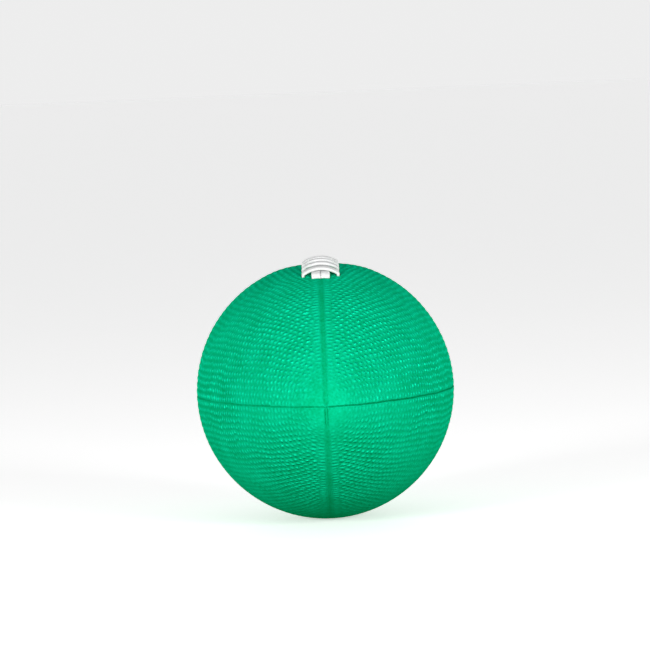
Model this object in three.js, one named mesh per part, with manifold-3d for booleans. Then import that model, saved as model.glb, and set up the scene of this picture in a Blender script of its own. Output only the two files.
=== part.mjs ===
// American football of the small training size: four rubber panels on cloth linings, one flat lace threaded
// through real holes over its strands, lace facings, a tongue, and an air bladder with its valve.
// Millimetres, +Z up. The long axis runs along Y, the lace is on top, and the belly stands on Z = 0.
import * as THREE from "three";
import { mergeVertices } from "three/addons/utils/BufferGeometryUtils.js";
import Module from "manifold-3d";

const wasm = await Module();
wasm.setup();

// Ball
const LENGTH = 215;
const DIAMETER = 130;
const NOSE_RADIUS = 23;
const TIP_RADIUS = 0.8; // where the points of the panels end at each nose
const BELLY_FLAT = 0.5; // how deep the belly is pressed flat where the ball stands

// Layers of the wall, from the outside in
const COVER = 2;
const LINING = 0.8;
const FACING = 0.8;
const TONGUE = 0.8;
const BLADDER_WALL = 0.9;
const GAP = 0.3; // between neighbouring pieces

// Seams: the top and bottom ones are wide shallow channels, the two side ones are narrow grooves
const UPRIGHT_SEAM_WIDTH = 2.8;
const UPRIGHT_SEAM_DEPTH = 0.6;
const SIDE_SEAM_WIDTH = 1;
const SIDE_SEAM_DEPTH = 0.7;
const SEAM_TAPER_RADIUS = 6; // the seams narrow where the ball is slimmer than this
const SEAM_FLOOR_SHARE = 0.6; // part of a seam's width that its floor takes up
const SEAM_FLOOR_DROP = 0.8; // depth at the floor's edge as part of the depth in the middle

// Lace
const LACE_WIDTH = 4.2;
const LACE_THICKNESS = 1.5;
const LACE_CORNER = 0.35;
const LACE_CLEARANCE = 0.45; // between the lace and itself
const LACE_BEND = 0.65; // inner radius where the lace bends through a hole
const LACE_TURN = 1.7; // inner radius where the lace turns flat under the panels
const LACE_TAIL = 10; // tucked end of the lace
const BAR_COUNT = 8;
const BAR_PITCH = 9.7;
const HOLE_SPACING = 17.5; // across the top seam, between the two rows of lace holes
const HOLE_CLEARANCE = 0.35;
const HOLE_CORNER = 0.5;
const LACE_SINK = 1.2; // how far the lacing draws the ball in at its middle
const SINK_WIDTH = 26; // the ball is back on its round this far from the top seam

// Facings and tongue under the lace
const FACING_MARGIN = 5; // past the outer side of the lace holes
const FACING_END = 4; // past the end slots
const TONGUE_MARGIN = 1; // past the facings, and past the tails of the lace
const FLAP_CORNER = 6; // rounding of the facings' and the tongue's corners
const DENT_MARGIN = 2; // the bladder gives way this far past the tongue

// Valve, in the middle of the lower right panel
const VALVE_ANGLE = THREE.MathUtils.degToRad(135); // round the ball from the top seam
const VALVE_STEM_RADIUS = 4;
const VALVE_BARREL_RADIUS = 5.2;
const VALVE_LENGTH = 22;
const VALVE_RECESS = 0.4;
const VALVE_FLANGE_RADIUS = 11;
const VALVE_FLANGE = 1;
const CORE_RADIUS = 2.5;
const CORE_LENGTH = 19;
const CORE_RECESS = 0.3;
const COLLAR_RADIUS = 3.2;
const COLLAR_DEPTH = 10; // from the core's top to the collar's middle
const COLLAR_HEIGHT = 3;
const NEEDLE_RADIUS = 0.6;
const NEEDLE_DEPTH = 12;
const NEEDLE_MOUTH = 1.4;

// Facets
const LINING_ROWS = 10; // along the side of the ball
const PANEL_ROWS = 2 * LINING_ROWS;
const NOSE_ROWS = 3;
const FACE_COLUMNS = 13; // across the face of each panel
const INNER_COLUMNS = 8; // across its inside and its lining
const BEND_STEPS = 3;
const ARCH_STEPS = 4;
const UNDER_STEPS = 5;
const STRAND_STEPS = 8;
const FACING_COLUMNS = 3;
const TONGUE_COLUMNS = 6;
const ROUND_STEPS = 18;

// Ball's outline: a long side arc that runs smoothly into a round nose
const GIRTH_RADIUS = DIAMETER / 2;
const NOSE_CENTRE = LENGTH / 2 - NOSE_RADIUS;
const SIDE_RADIUS =
  (NOSE_CENTRE ** 2 + GIRTH_RADIUS ** 2 - NOSE_RADIUS ** 2) / (2 * (GIRTH_RADIUS - NOSE_RADIUS));
const SIDE_DROP = SIDE_RADIUS - GIRTH_RADIUS;
const SIDE_ANGLE = Math.atan2(NOSE_CENTRE, SIDE_DROP);
const TIP_LEAN = Math.acos(TIP_RADIUS / NOSE_RADIUS);

// Lace layout
const BEND_RADIUS = LACE_BEND + LACE_THICKNESS / 2;
const TURN_RADIUS = LACE_TURN + LACE_WIDTH / 2;
const HOLE_OFFSET = HOLE_SPACING / 2;
const STRAND_OFFSET = (LACE_WIDTH + LACE_CLEARANCE) / 2;
const STRANDS_WIDTH = 2 * LACE_WIDTH + LACE_CLEARANCE;
const STRAND_LEVEL = GAP + LACE_THICKNESS / 2;
const FIRST_BAR = (-BAR_PITCH * (BAR_COUNT - 1)) / 2;
const END_SLOT = -FIRST_BAR + BEND_RADIUS + TURN_RADIUS;
const TAIL_END = END_SLOT + BEND_RADIUS + LACE_TAIL;
const FACING_WIDTH = HOLE_OFFSET + LACE_THICKNESS / 2 + HOLE_CLEARANCE + FACING_MARGIN;
const FACING_HALF_LENGTH = END_SLOT + FACING_END;
const SINK_LENGTH = FACING_HALF_LENGTH;
const TONGUE_HALF_WIDTH = FACING_WIDTH + TONGUE_MARGIN;
const TONGUE_HALF_LENGTH = TAIL_END + TONGUE_MARGIN;

// Depths of the layers below the surface. A flat facet lies up to SAG below the curve that it stands for.
const ROW_STEP = (2 * SIDE_RADIUS * SIDE_ANGLE) / LINING_ROWS;
const COLUMN_STEP = (GIRTH_RADIUS * Math.PI) / 2 / INNER_COLUMNS;
const sagOf = (step, radius, fade) => {
  const curve = 1 / radius + (LACE_SINK * (Math.PI / fade) ** 2) / 2;
  return (curve * step ** 2) / 8;
};
const SAG = sagOf(ROW_STEP, SIDE_RADIUS, SINK_LENGTH) + sagOf(COLUMN_STEP, GIRTH_RADIUS, SINK_WIDTH);
const LINING_TOP = -COVER - GAP;
const LINING_BOTTOM = LINING_TOP - LINING;
const FACING_TOP = LINING_BOTTOM - SAG - GAP;
const FACING_BOTTOM = FACING_TOP - FACING;
const UNDER_LEVEL = FACING_BOTTOM - GAP - LACE_THICKNESS / 2;
const TONGUE_TOP = UNDER_LEVEL - LACE_THICKNESS / 2 - GAP;
const TONGUE_BOTTOM = TONGUE_TOP - TONGUE;
const BLADDER_TOP = LINING_BOTTOM - SAG - GAP;
const DENT_LEVEL = TONGUE_BOTTOM - GAP;

// Colours and finishes
const cover = new THREE.MeshStandardMaterial({ color: 0x08a276, roughness: 0.55, metalness: 0 });
const white = new THREE.MeshStandardMaterial({ color: 0xf0f2f2, roughness: 0.45, metalness: 0 });
const cloth = new THREE.MeshStandardMaterial({ color: 0xd9d4c6, roughness: 0.9, metalness: 0 });
const felt = new THREE.MeshStandardMaterial({ color: 0x8c8f8d, roughness: 0.95, metalness: 0 });
const butyl = new THREE.MeshStandardMaterial({ color: 0x1d1d1f, roughness: 0.6, metalness: 0 });
const stopper = new THREE.MeshStandardMaterial({ color: 0x2b2d2f, roughness: 0.65, metalness: 0 });

// Evenly spaced numbers, both ends included.
function steps(from, to, count) {
  return Array.from({ length: count + 1 }, (_, i) => from + ((to - from) * i) / count);
}

// Distance along the axis and from it of the outline's point whose normal leans by `lean`, moved out by h.
function meridian(lean, h) {
  if (Math.abs(lean) <= SIDE_ANGLE) {
    const reach = SIDE_RADIUS + h;
    return [reach * Math.sin(lean), reach * Math.cos(lean) - SIDE_DROP];
  }
  const reach = NOSE_RADIUS + h;
  return [Math.sign(lean) * NOSE_CENTRE + reach * Math.sin(lean), reach * Math.cos(lean)];
}

// How far the lacing draws the surface in: most at the middle of the top seam, fading out in a smooth wave.
function sink(lean, angle) {
  const [axial, radial] = meridian(lean, 0);
  const round = Math.acos(Math.cos(angle)) * radial;
  const fade = (part) => (part < 1 ? (1 + Math.cos(Math.PI * part)) / 2 : 0);
  return LACE_SINK * fade(Math.abs(axial) / SINK_LENGTH) * fade(round / SINK_WIDTH);
}

// Point of a layer: lean along the ball, angle round it from the top, height above the surface.
function onLayer(lean, angle, h) {
  const [axial, radial] = meridian(lean, h - sink(lean, angle));
  return new THREE.Vector3(radial * Math.sin(angle), axial, radial * Math.cos(angle));
}

// Point over the top of the ball: across the top seam by s, along it by y, and above the surface by h.
function onTop(s, y, h) {
  const lean = Math.asin(y / SIDE_RADIUS);
  return onLayer(lean, s / meridian(lean, 0)[1], h);
}

// Geometry with its faces turned outwards.
function outward(positions, index) {
  const geometry = new THREE.BufferGeometry().setFromPoints(positions);
  let volume = 0;
  for (let i = 0; i < index.length; i += 3) {
    const [a, b, c] = [index[i], index[i + 1], index[i + 2]].map((n) => positions[n]);
    volume += a.dot(new THREE.Vector3().crossVectors(b, c));
  }
  return geometry.setIndex(volume < 0 ? index.slice().reverse() : index);
}

// Closed skin through a row of equal loops of points, whose two ends are filled by a flat outline.
function loft(loops, outline) {
  const count = outline.length;
  const index = [];
  for (let i = 0; i + 1 < loops.length; i += 1) {
    for (let j = 0; j < count; j += 1) {
      const here = i * count + j;
      const next = i * count + ((j + 1) % count);
      index.push(here, here + count, next, next, here + count, next + count);
    }
  }
  const last = (loops.length - 1) * count;
  const clockwise = THREE.ShapeUtils.isClockWise(outline);
  for (const face of THREE.ShapeUtils.triangulateShape(outline, [])) {
    const [a, b, c] = clockwise ? face.reverse() : face;
    index.push(a, b, c, last + a, last + c, last + b);
  }
  return outward(loops.flat(), index);
}

// Closed skin round the long axis, from row to row of points between two end points.
function pod(rows, nearEnd, farEnd) {
  const count = rows[0].length;
  const near = rows.length * count;
  const index = [];
  for (let j = 0; j < count; j += 1) {
    const k = (j + 1) % count;
    index.push(near, j, k);
    for (let i = 0; i + 1 < rows.length; i += 1) {
      const [here, next] = [i * count + j, i * count + k];
      index.push(here, here + count, next, next, here + count, next + count);
    }
    index.push(near + 1, near - count + k, near - count + j);
  }
  return outward([...rows.flat(), nearEnd, farEnd], index);
}

// Solid for joining and cutting, and back.
function toSolid(geometry) {
  const bare = geometry.clone();
  bare.deleteAttribute("normal");
  bare.deleteAttribute("uv");
  const merged = mergeVertices(bare);
  const triVerts = new Uint32Array(merged.index.array);
  const vertProperties = merged.attributes.position.array;
  return new wasm.Manifold(new wasm.Mesh({ numProp: 3, vertProperties, triVerts }));
}

function toGeometry(solid) {
  const mesh = solid.getMesh();
  const geometry = new THREE.BufferGeometry();
  geometry.setAttribute("position", new THREE.BufferAttribute(mesh.vertProperties, 3));
  return geometry.setIndex(new THREE.BufferAttribute(mesh.triVerts, 1));
}

function cut(geometry, cutters) {
  return toGeometry(cutters.reduce((solid, cutter) => solid.subtract(cutter), toSolid(geometry)));
}

const bars = steps(FIRST_BAR, -FIRST_BAR, BAR_COUNT - 1);
const football = new THREE.Group();
football.position.z = GIRTH_RADIUS - BELLY_FLAT;

function add(name, geometry, material) {
  const mesh = new THREE.Mesh(geometry, material);
  mesh.name = name;
  football.add(mesh);
}

// Cutters: the lace holes, the end slots, the valve's hole and the ground that flattens the belly
function plainBox(halfWidth, halfHeight) {
  const signs = [[1, 1], [-1, 1], [-1, -1], [1, -1]];
  return signs.map(([x, y]) => new THREE.Vector2(x * halfWidth, y * halfHeight));
}

function chamferedBox(halfWidth, halfHeight, corner) {
  const [w, h] = [halfWidth - corner, halfHeight - corner];
  const corners = [[halfWidth, h], [w, halfHeight], [-w, halfHeight], [-halfWidth, h]];
  const lower = corners.map(([x, y]) => [-x, -y]);
  return [...corners, ...lower].map(([x, y]) => new THREE.Vector2(x, y));
}

// Holes for the lace on one side of the ball, from bar to bar, and the slots at both ends of the lacing.
function laceHoles(side, shape) {
  const hole = (s, y, halfAcross, halfAlong) => {
    const outline = shape(halfAcross + HOLE_CLEARANCE, halfAlong + HOLE_CLEARANCE, HOLE_CORNER);
    const level = (h) => outline.map((p) => onTop(s + p.x, y + p.y, h));
    return toSolid(loft([level(COVER), level(UNDER_LEVEL)], outline));
  };
  const row = bars.map((y) => hole(side * HOLE_OFFSET, y, LACE_THICKNESS / 2, LACE_WIDTH / 2));
  const slots = [-END_SLOT, END_SLOT].map((y) => hole(0, y, STRANDS_WIDTH / 2, LACE_THICKNESS / 2));
  return [...row, ...slots];
}

// Revolved piece on the valve's axis, from points of radius and height above the ball's surface.
function onValveAxis(profile) {
  const points = profile.map(([radius, h]) => new THREE.Vector2(radius, GIRTH_RADIUS + h));
  const geometry = new THREE.LatheGeometry(points, ROUND_STEPS);
  return toSolid(geometry.rotateX(Math.PI / 2).rotateY(VALVE_ANGLE));
}

const rod = (radius, bottom, top) => onValveAxis([[0, bottom], [radius, bottom], [radius, top], [0, top]]);
const valveHole = rod(VALVE_STEM_RADIUS + GAP, -VALVE_LENGTH, COVER);
const groundSize = LENGTH;
const ground = new THREE.BoxGeometry(groundSize, groundSize, groundSize);
const belly = toSolid(ground.translate(0, 0, BELLY_FLAT - GIRTH_RADIUS - groundSize / 2));

// Cover panels and their linings, in quarters of the ball
// Leans of the rows from nose to nose. Each row of a lining lies under a row of its panel.
function rowLeans(sideRows) {
  return [
    ...steps(-TIP_LEAN, -SIDE_ANGLE, NOSE_ROWS),
    ...steps(-SIDE_ANGLE, SIDE_ANGLE, sideRows).slice(1),
    ...steps(SIDE_ANGLE, TIP_LEAN, NOSE_ROWS).slice(1),
  ];
}

// Half of a seam's section: distance from the seam's plane and height, from its middle out to its lip.
function seamSteps(width, depth, lean) {
  const taper = Math.min(1, meridian(lean, 0)[1] / SEAM_TAPER_RADIUS);
  const edge = GAP / 2;
  const lip = edge + (width / 2 - edge) * taper;
  const floor = edge + (lip - edge) * SEAM_FLOOR_SHARE;
  return [[edge, -depth * taper], [floor, -depth * taper * SEAM_FLOOR_DROP], [lip, 0]];
}

// Angle that a distance from a seam's plane takes up at a layer.
const angleOff = (distance, lean, h) => Math.asin(distance / meridian(lean, h)[1]);
const uprightEdge = (lean) => seamSteps(UPRIGHT_SEAM_WIDTH, UPRIGHT_SEAM_DEPTH, lean);
const sideEdge = (lean) => seamSteps(SIDE_SEAM_WIDTH, SIDE_SEAM_DEPTH, lean);

// Angles of the columns between the two lips of a panel, measured from its upright seam.
function columnAngles(lean, count) {
  const from = angleOff(uprightEdge(lean)[2][0], lean, 0);
  const to = Math.PI / 2 - angleOff(sideEdge(lean)[2][0], lean, 0);
  return steps(from, to, count).slice(1, -1);
}

// Inside of a panel, or one side of its lining, from edge to edge, as angle and height.
function innerLevel(lean, h) {
  const edge = angleOff(GAP / 2, lean, h);
  const angles = [edge, ...columnAngles(lean, INNER_COLUMNS), Math.PI / 2 - edge];
  return angles.map((angle) => [angle, h]);
}

// Section of a panel at one lean, as angle and height: out along its face, back along its inside.
function panelSection(lean) {
  const upright = uprightEdge(lean).map(([d, h]) => [angleOff(d, lean, h), h]);
  const side = sideEdge(lean).map(([d, h]) => [Math.PI / 2 - angleOff(d, lean, h), h]);
  const face = columnAngles(lean, FACE_COLUMNS).map((angle) => [angle, 0]);
  return [...upright, ...face, ...side.reverse(), ...innerLevel(lean, -COVER).reverse()];
}

function liningSection(lean) {
  return [...innerLevel(lean, LINING_TOP), ...innerLevel(lean, LINING_BOTTOM).reverse()];
}

// Quarter of the ball: side is -1 on the left, tier is -1 below.
function quarter(section, sideRows, side, tier) {
  const outline = section(0).map(([angle, h]) => new THREE.Vector2(angle * GIRTH_RADIUS, h));
  const turn = (angle) => side * (tier > 0 ? angle : Math.PI - angle);
  const loop = (lean) => section(lean).map(([angle, h]) => onLayer(lean, turn(angle), h));
  return loft(rowLeans(sideRows).map(loop), outline);
}

for (const [sideName, side] of [["left", -1], ["right", 1]]) {
  const valve = side > 0 ? [valveHole] : [];
  const panel = (tier) => quarter(panelSection, PANEL_ROWS, side, tier);
  const lining = (tier) => quarter(liningSection, LINING_ROWS, side, tier);
  add(`panel_upper_${sideName}`, cut(panel(1), laceHoles(side, chamferedBox)), cover);
  add(`panel_lower_${sideName}`, cut(panel(-1), [belly, ...valve]), cover);
  add(`lining_upper_${sideName}`, cut(lining(1), laceHoles(side, plainBox)), cloth);
  add(`lining_lower_${sideName}`, cut(lining(-1), valve), cloth);
}

// Lace facings and tongue: flaps under the top seam with rounded corners
// Reach of a flap's outer edge at y along the seam, where the corners are cut back by arcs.
function flapReach(y, halfLength, reach) {
  const past = Math.max(0, Math.abs(y) - (halfLength - FLAP_CORNER));
  const cutBack = FLAP_CORNER - Math.sqrt(Math.max(0, FLAP_CORNER ** 2 - past ** 2));
  return reach - Math.sign(reach) * cutBack;
}

// Flap between an inner edge and its reach across the seam; the inner edge may follow the outer one.
function flap([halfLength, reach], inner, columns, top, bottom) {
  const straight = halfLength - FLAP_CORNER;
  const corner = steps(0, Math.PI / 2, BEND_STEPS).map((turn) => straight + FLAP_CORNER * Math.sin(turn));
  const along = [...corner.slice(1).reverse().map((y) => -y), ...steps(-straight, straight, STRAND_STEPS)];
  const loops = [...along, ...corner.slice(1)].map((y) => {
    const edge = flapReach(y, halfLength, reach);
    const across = steps(inner(edge), edge, columns);
    return [...across.map((s) => onTop(s, y, top)), ...across.reverse().map((s) => onTop(s, y, bottom))];
  });
  const flat = steps(inner(reach), reach, columns);
  const outline = [...flat.map((s) => [s, top]), ...flat.reverse().map((s) => [s, bottom])];
  return loft(loops, outline.map(([s, h]) => new THREE.Vector2(s, h)));
}

function facing(side) {
  const seamEdge = () => (side * GAP) / 2;
  const size = [FACING_HALF_LENGTH, side * FACING_WIDTH];
  return cut(flap(size, seamEdge, FACING_COLUMNS, FACING_TOP, FACING_BOTTOM), laceHoles(side, plainBox));
}

function tongue() {
  const otherEdge = (edge) => -edge;
  const size = [TONGUE_HALF_LENGTH, TONGUE_HALF_WIDTH];
  return flap(size, otherEdge, TONGUE_COLUMNS, TONGUE_TOP, TONGUE_BOTTOM);
}

add("lace_facing_left", facing(-1), felt);
add("lace_facing_right", facing(1), felt);
add("tongue", tongue(), felt);

// Lace: one flat strip. It comes up through the back slot, runs forward along the left of the seam, goes down
// the front slot and turns under the panels, crosses over as bars from hole to hole while it works its way
// back, and comes up again through the back slot to run forward along the right and down the front slot.
// The route is worked out flat, as across (x), along (y) and height (z), and then bent over the ball.
const ACROSS = new THREE.Vector3(1, 0, 0);
const ALONG = new THREE.Vector3(0, 1, 0);
const UP = new THREE.Vector3(0, 0, 1);

// Stops of an arc in the plane of `level` and `rise`, with the direction of the strip's width at each.
function arc(centre, radius, from, to, level, rise, count, width) {
  return steps(from, to, count).map((degrees) => {
    const turn = THREE.MathUtils.degToRad(degrees);
    const out = level.clone().multiplyScalar(Math.cos(turn)).addScaledVector(rise, Math.sin(turn));
    return { at: centre.clone().addScaledVector(out, radius), width: width ?? out };
  });
}

const bend = (s, y, h, from, to, level, width) => {
  return arc(new THREE.Vector3(s, y, h), BEND_RADIUS, from, to, level, UP, BEND_STEPS, width);
};

// Under side of a bar's arch, over the outer edge of the strands, for an arch that starts at a given slope.
function barArch(slope) {
  const start = HOLE_OFFSET - BEND_RADIUS + BEND_RADIUS * Math.sin(slope);
  const radius = start / Math.sin(slope);
  const centre = BEND_RADIUS * Math.cos(slope) - radius * Math.cos(slope);
  const edge = STRANDS_WIDTH / 2;
  const under = centre + Math.sqrt((radius - LACE_THICKNESS / 2) ** 2 - edge ** 2);
  return { radius, centre, under };
}

// Slope of a bar where it leaves its hole: the least that clears the strands, found by halving.
let [flatter, steeper] = [0.05, 1.2];
for (let i = 0; i < 40; i += 1) {
  const slope = (flatter + steeper) / 2;
  const clears = barArch(slope).under >= STRAND_LEVEL + LACE_THICKNESS / 2 + LACE_CLEARANCE;
  [flatter, steeper] = clears ? [flatter, slope] : [slope, steeper];
}
const ARCH_SLOPE = THREE.MathUtils.radToDeg(steeper);
const ARCH = barArch(steeper);

function bar(y) {
  const inset = HOLE_OFFSET - BEND_RADIUS;
  const deep = UNDER_LEVEL + BEND_RADIUS;
  const crown = new THREE.Vector3(0, y, ARCH.centre);
  return [
    ...bend(-inset, y, deep, -90, -180, ACROSS, ALONG),
    ...bend(-inset, y, 0, 180, 90 + ARCH_SLOPE, ACROSS, ALONG),
    ...arc(crown, ARCH.radius, 90 + ARCH_SLOPE, 90 - ARCH_SLOPE, ACROSS, UP, ARCH_STEPS, ALONG).slice(1, -1),
    ...bend(inset, y, 0, 90 - ARCH_SLOPE, 0, ACROSS, ALONG),
    ...bend(inset, y, deep, 0, -90, ACROSS, ALONG),
  ];
}

// Run under the panels from the right hole of one bar to the left hole of the next, easing over by a pitch.
function underRun(y) {
  const inset = HOLE_OFFSET - BEND_RADIUS;
  return steps(0, 1, UNDER_STEPS).slice(1, -1).map((t) => {
    const ease = (1 - Math.cos(Math.PI * t)) / 2;
    const lean = (BAR_PITCH * Math.PI * Math.sin(Math.PI * t)) / (4 * inset);
    const at = new THREE.Vector3(inset * (1 - 2 * t), y + BAR_PITCH * ease, UNDER_LEVEL);
    return { at, width: new THREE.Vector3(lean, 1, 0).normalize() };
  });
}

// From the tucked tail at the back to the first bar's hole.
function leadIn() {
  const s = -STRAND_OFFSET;
  const deep = UNDER_LEVEL + BEND_RADIUS;
  const shallow = STRAND_LEVEL - BEND_RADIUS;
  const reach = END_SLOT - BEND_RADIUS;
  const strand = steps(reach, -reach, STRAND_STEPS).slice(1, -1);
  const turnCentre = new THREE.Vector3(s - TURN_RADIUS, -reach, UNDER_LEVEL);
  return [
    { at: new THREE.Vector3(s, TAIL_END, UNDER_LEVEL), width: ACROSS },
    ...bend(s, END_SLOT + BEND_RADIUS, deep, -90, -180, ALONG, ACROSS),
    ...bend(s, reach, shallow, 0, 90, ALONG, ACROSS),
    ...strand.map((y) => ({ at: new THREE.Vector3(s, y, STRAND_LEVEL), width: ACROSS })),
    ...bend(s, -reach, shallow, 90, 180, ALONG, ACROSS),
    ...bend(s, -reach, deep, 180, 270, ALONG, ACROSS),
    ...arc(turnCentre, TURN_RADIUS, 0, 90, ACROSS, ALONG, BEND_STEPS + 1).slice(1),
  ];
}

// The way out is the way in, turned half round the upright axis and walked backwards.
const halfTurn = ({ at, width }) => ({ at: new THREE.Vector3(-at.x, -at.y, at.z), width });
const wayIn = leadIn();
const crossings = bars.flatMap((y, i) => [...bar(y), ...(i + 1 < BAR_COUNT ? underRun(y) : [])]);
const route = [...wayIn, ...crossings, ...wayIn.map(halfTurn).reverse()];

const laceOutline = chamferedBox(LACE_WIDTH / 2, LACE_THICKNESS / 2, LACE_CORNER);

// Points of the strip at one stop of the route, from points of its section.
function laceSection(stop, section) {
  const { at, width } = route[stop];
  const ahead = route[Math.min(stop + 1, route.length - 1)].at;
  const behind = route[Math.max(stop - 1, 0)].at;
  const face = new THREE.Vector3().subVectors(ahead, behind).cross(width).normalize();
  return section.map((p) => {
    const point = at.clone().addScaledVector(width, p.x).addScaledVector(face, p.y);
    return onTop(point.x, point.y, point.z);
  });
}

add("lace", loft(route.map((_, stop) => laceSection(stop, laceOutline)), laceOutline), white);

// Least gap of the lace to itself, on points of its two faces taken between the stops too, and its length.
function measureLace() {
  const across = steps(-LACE_WIDTH / 2, LACE_WIDTH / 2, 4);
  const faces = [-1, 1].flatMap((side) => {
    return across.map((x) => new THREE.Vector2(x, (side * LACE_THICKNESS) / 2));
  });
  const rings = route.map((_, stop) => laceSection(stop, faces));
  const middle = route.map(({ at }) => onTop(at.x, at.y, at.z));
  const far = 3 * LACE_WIDTH; // points nearer than this along the lace belong to one bend
  const samples = [];
  let length = 0;
  for (let i = 0; i + 1 < rings.length; i += 1) {
    const step = middle[i].distanceTo(middle[i + 1]);
    const parts = Math.max(1, Math.round(step / LACE_THICKNESS));
    for (let k = 0; k < parts; k += 1) {
      const points = rings[i].map((p, j) => p.clone().lerp(rings[i + 1][j], k / parts));
      samples.push(...points.map((point) => ({ point, along: length + (step * k) / parts })));
    }
    length += step;
  }
  let least = Infinity;
  samples.forEach((a, i) => {
    for (let j = i + 1; j < samples.length; j += 1) {
      const b = samples[j];
      if (b.along - a.along > far) least = Math.min(least, a.point.distanceToSquared(b.point));
    }
  });
  return { length, gap: Math.sqrt(least) };
}

const measured = measureLace();
console.log(`lace: ${measured.length.toFixed(0)} mm long, least gap to itself ${measured.gap.toFixed(2)} mm`);

// Bladder: follows the inside of the linings and gives way under the tongue
const DENT_LEAN = Math.asin((TONGUE_HALF_LENGTH + DENT_MARGIN) / SIDE_RADIUS);
const DENT_ANGLE = (TONGUE_HALF_WIDTH + DENT_MARGIN) / meridian(DENT_LEAN, 0)[1];
const DENT_STEPS = 2; // rows and columns from the dent's middle to its edge
const bladderLeans = [
  ...steps(-Math.PI / 2, -SIDE_ANGLE, NOSE_ROWS).slice(1),
  ...steps(-SIDE_ANGLE, -DENT_LEAN, NOSE_ROWS).slice(1, -1),
  ...steps(-DENT_LEAN, DENT_LEAN, 2 * DENT_STEPS),
  ...steps(DENT_LEAN, SIDE_ANGLE, NOSE_ROWS).slice(1),
  ...steps(SIDE_ANGLE, Math.PI / 2, NOSE_ROWS).slice(1, -1),
];
const bladderAngles = [
  ...steps(-DENT_ANGLE, DENT_ANGLE, 2 * DENT_STEPS),
  ...steps(DENT_ANGLE, 2 * Math.PI - DENT_ANGLE, ROUND_STEPS).slice(1, -1),
];

// Skin of the bladder, a given depth below its outer face.
function bladderSkin(depth) {
  const rows = bladderLeans.map((lean) => {
    return bladderAngles.map((angle) => {
      const dented = Math.abs(lean) <= DENT_LEAN && Math.abs(angle) <= DENT_ANGLE;
      return onLayer(lean, angle, (dented ? DENT_LEVEL : BLADDER_TOP) - depth);
    });
  });
  const end = (sign) => new THREE.Vector3(0, sign * (LENGTH / 2 + BLADDER_TOP - depth), 0);
  return toSolid(pod(rows, end(-1), end(1)));
}

const bladder = bladderSkin(0).subtract(bladderSkin(BLADDER_WALL)).subtract(valveHole);
add("bladder", toGeometry(bladder), butyl);

// Valve: a rubber body with a curved flange inside the bladder, and a core with a blind way for the needle
const flangeDepth = BLADDER_WALL + GAP;
const flangeShell = bladderSkin(flangeDepth).subtract(bladderSkin(flangeDepth + VALVE_FLANGE));
const flange = flangeShell.intersect(rod(VALVE_FLANGE_RADIUS, -VALVE_LENGTH, 0));
const stem = rod(VALVE_STEM_RADIUS, -VALVE_LENGTH, -VALVE_RECESS);
const barrelTop = BLADDER_TOP - flangeDepth - VALVE_FLANGE - SAG;
const barrel = rod(VALVE_BARREL_RADIUS, -VALVE_LENGTH, barrelTop);
const CORE_TOP = -VALVE_RECESS - CORE_RECESS;

// Outline of the core, or of the seat for it when grown by a clearance.
function coreOutline(grow, bottom, top) {
  const collar = CORE_TOP - COLLAR_DEPTH;
  const [neck, wide] = [CORE_RADIUS + grow, COLLAR_RADIUS + grow];
  const slant = wide - neck;
  const half = COLLAR_HEIGHT / 2 + grow;
  return [
    [0, bottom],
    [neck, bottom],
    [neck, collar - half],
    [wide, collar - half + slant],
    [wide, collar + half - slant],
    [neck, collar + half],
    [neck, top],
  ];
}

const seat = onValveAxis([...coreOutline(GAP, -VALVE_LENGTH - GAP, 0), [0, 0]]);
const needleWay = [
  [NEEDLE_MOUTH, 0],
  [NEEDLE_RADIUS, NEEDLE_MOUTH],
  [NEEDLE_RADIUS, NEEDLE_DEPTH],
  [0, NEEDLE_DEPTH],
];
const core = [
  ...coreOutline(0, CORE_TOP - CORE_LENGTH, CORE_TOP),
  ...needleWay.map(([radius, depth]) => [radius, CORE_TOP - depth]),
];
add("valve_body", toGeometry(stem.add(flange).add(barrel).subtract(seat)), butyl);
add("valve_core", toGeometry(onValveAxis(core)), stopper);

export default football;
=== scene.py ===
# %% [markdown]
# A mini american football, dressed around its solids
#
# The ball is four panels of pebbled green rubber on cloth, closed by one white lace over a felt tongue,
# with an air bladder and its valve inside. The solids give the sizes and places. This lesson gives every
# piece its fine surface with numpy, one grid of points at a time, and a finish made of shader nodes.

# %% Load the frame
import math
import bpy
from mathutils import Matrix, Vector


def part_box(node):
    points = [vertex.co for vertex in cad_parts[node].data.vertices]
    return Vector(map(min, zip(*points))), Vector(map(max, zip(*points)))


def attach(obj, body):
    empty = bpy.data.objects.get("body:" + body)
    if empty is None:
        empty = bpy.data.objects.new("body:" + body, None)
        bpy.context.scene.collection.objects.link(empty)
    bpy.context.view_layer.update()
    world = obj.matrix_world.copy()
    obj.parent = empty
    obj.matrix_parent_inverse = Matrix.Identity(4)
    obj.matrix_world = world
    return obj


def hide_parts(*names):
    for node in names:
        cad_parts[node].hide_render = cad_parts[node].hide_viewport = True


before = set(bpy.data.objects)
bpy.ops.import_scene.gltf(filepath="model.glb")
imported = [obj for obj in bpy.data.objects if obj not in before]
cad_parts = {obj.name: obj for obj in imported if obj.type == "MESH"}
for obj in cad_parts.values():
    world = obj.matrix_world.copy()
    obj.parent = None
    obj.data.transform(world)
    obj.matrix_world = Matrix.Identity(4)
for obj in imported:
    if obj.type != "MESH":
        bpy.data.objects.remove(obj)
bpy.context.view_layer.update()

from types import SimpleNamespace

import bpy
import numpy as np
from mathutils import Quaternion, Vector

# %% [markdown]
# The ball's round
#
# Seen from the side, a football is a long arc that runs into a small round nose. A stretched sphere would
# be too blunt there, so the outline is made of two arcs that meet smoothly. A point on the ball is found by
# its lean, the angle by which the surface normal tips towards a nose, and by its angle round the long axis,
# counted from the lace. Everything is worked out in millimetres and turned into metres when a mesh is made.

# %% Ball's outline
LENGTH = 215.0
DIAMETER = 130.0
NOSE_RADIUS = 23.0
MILLIMETRE = 0.001

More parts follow.
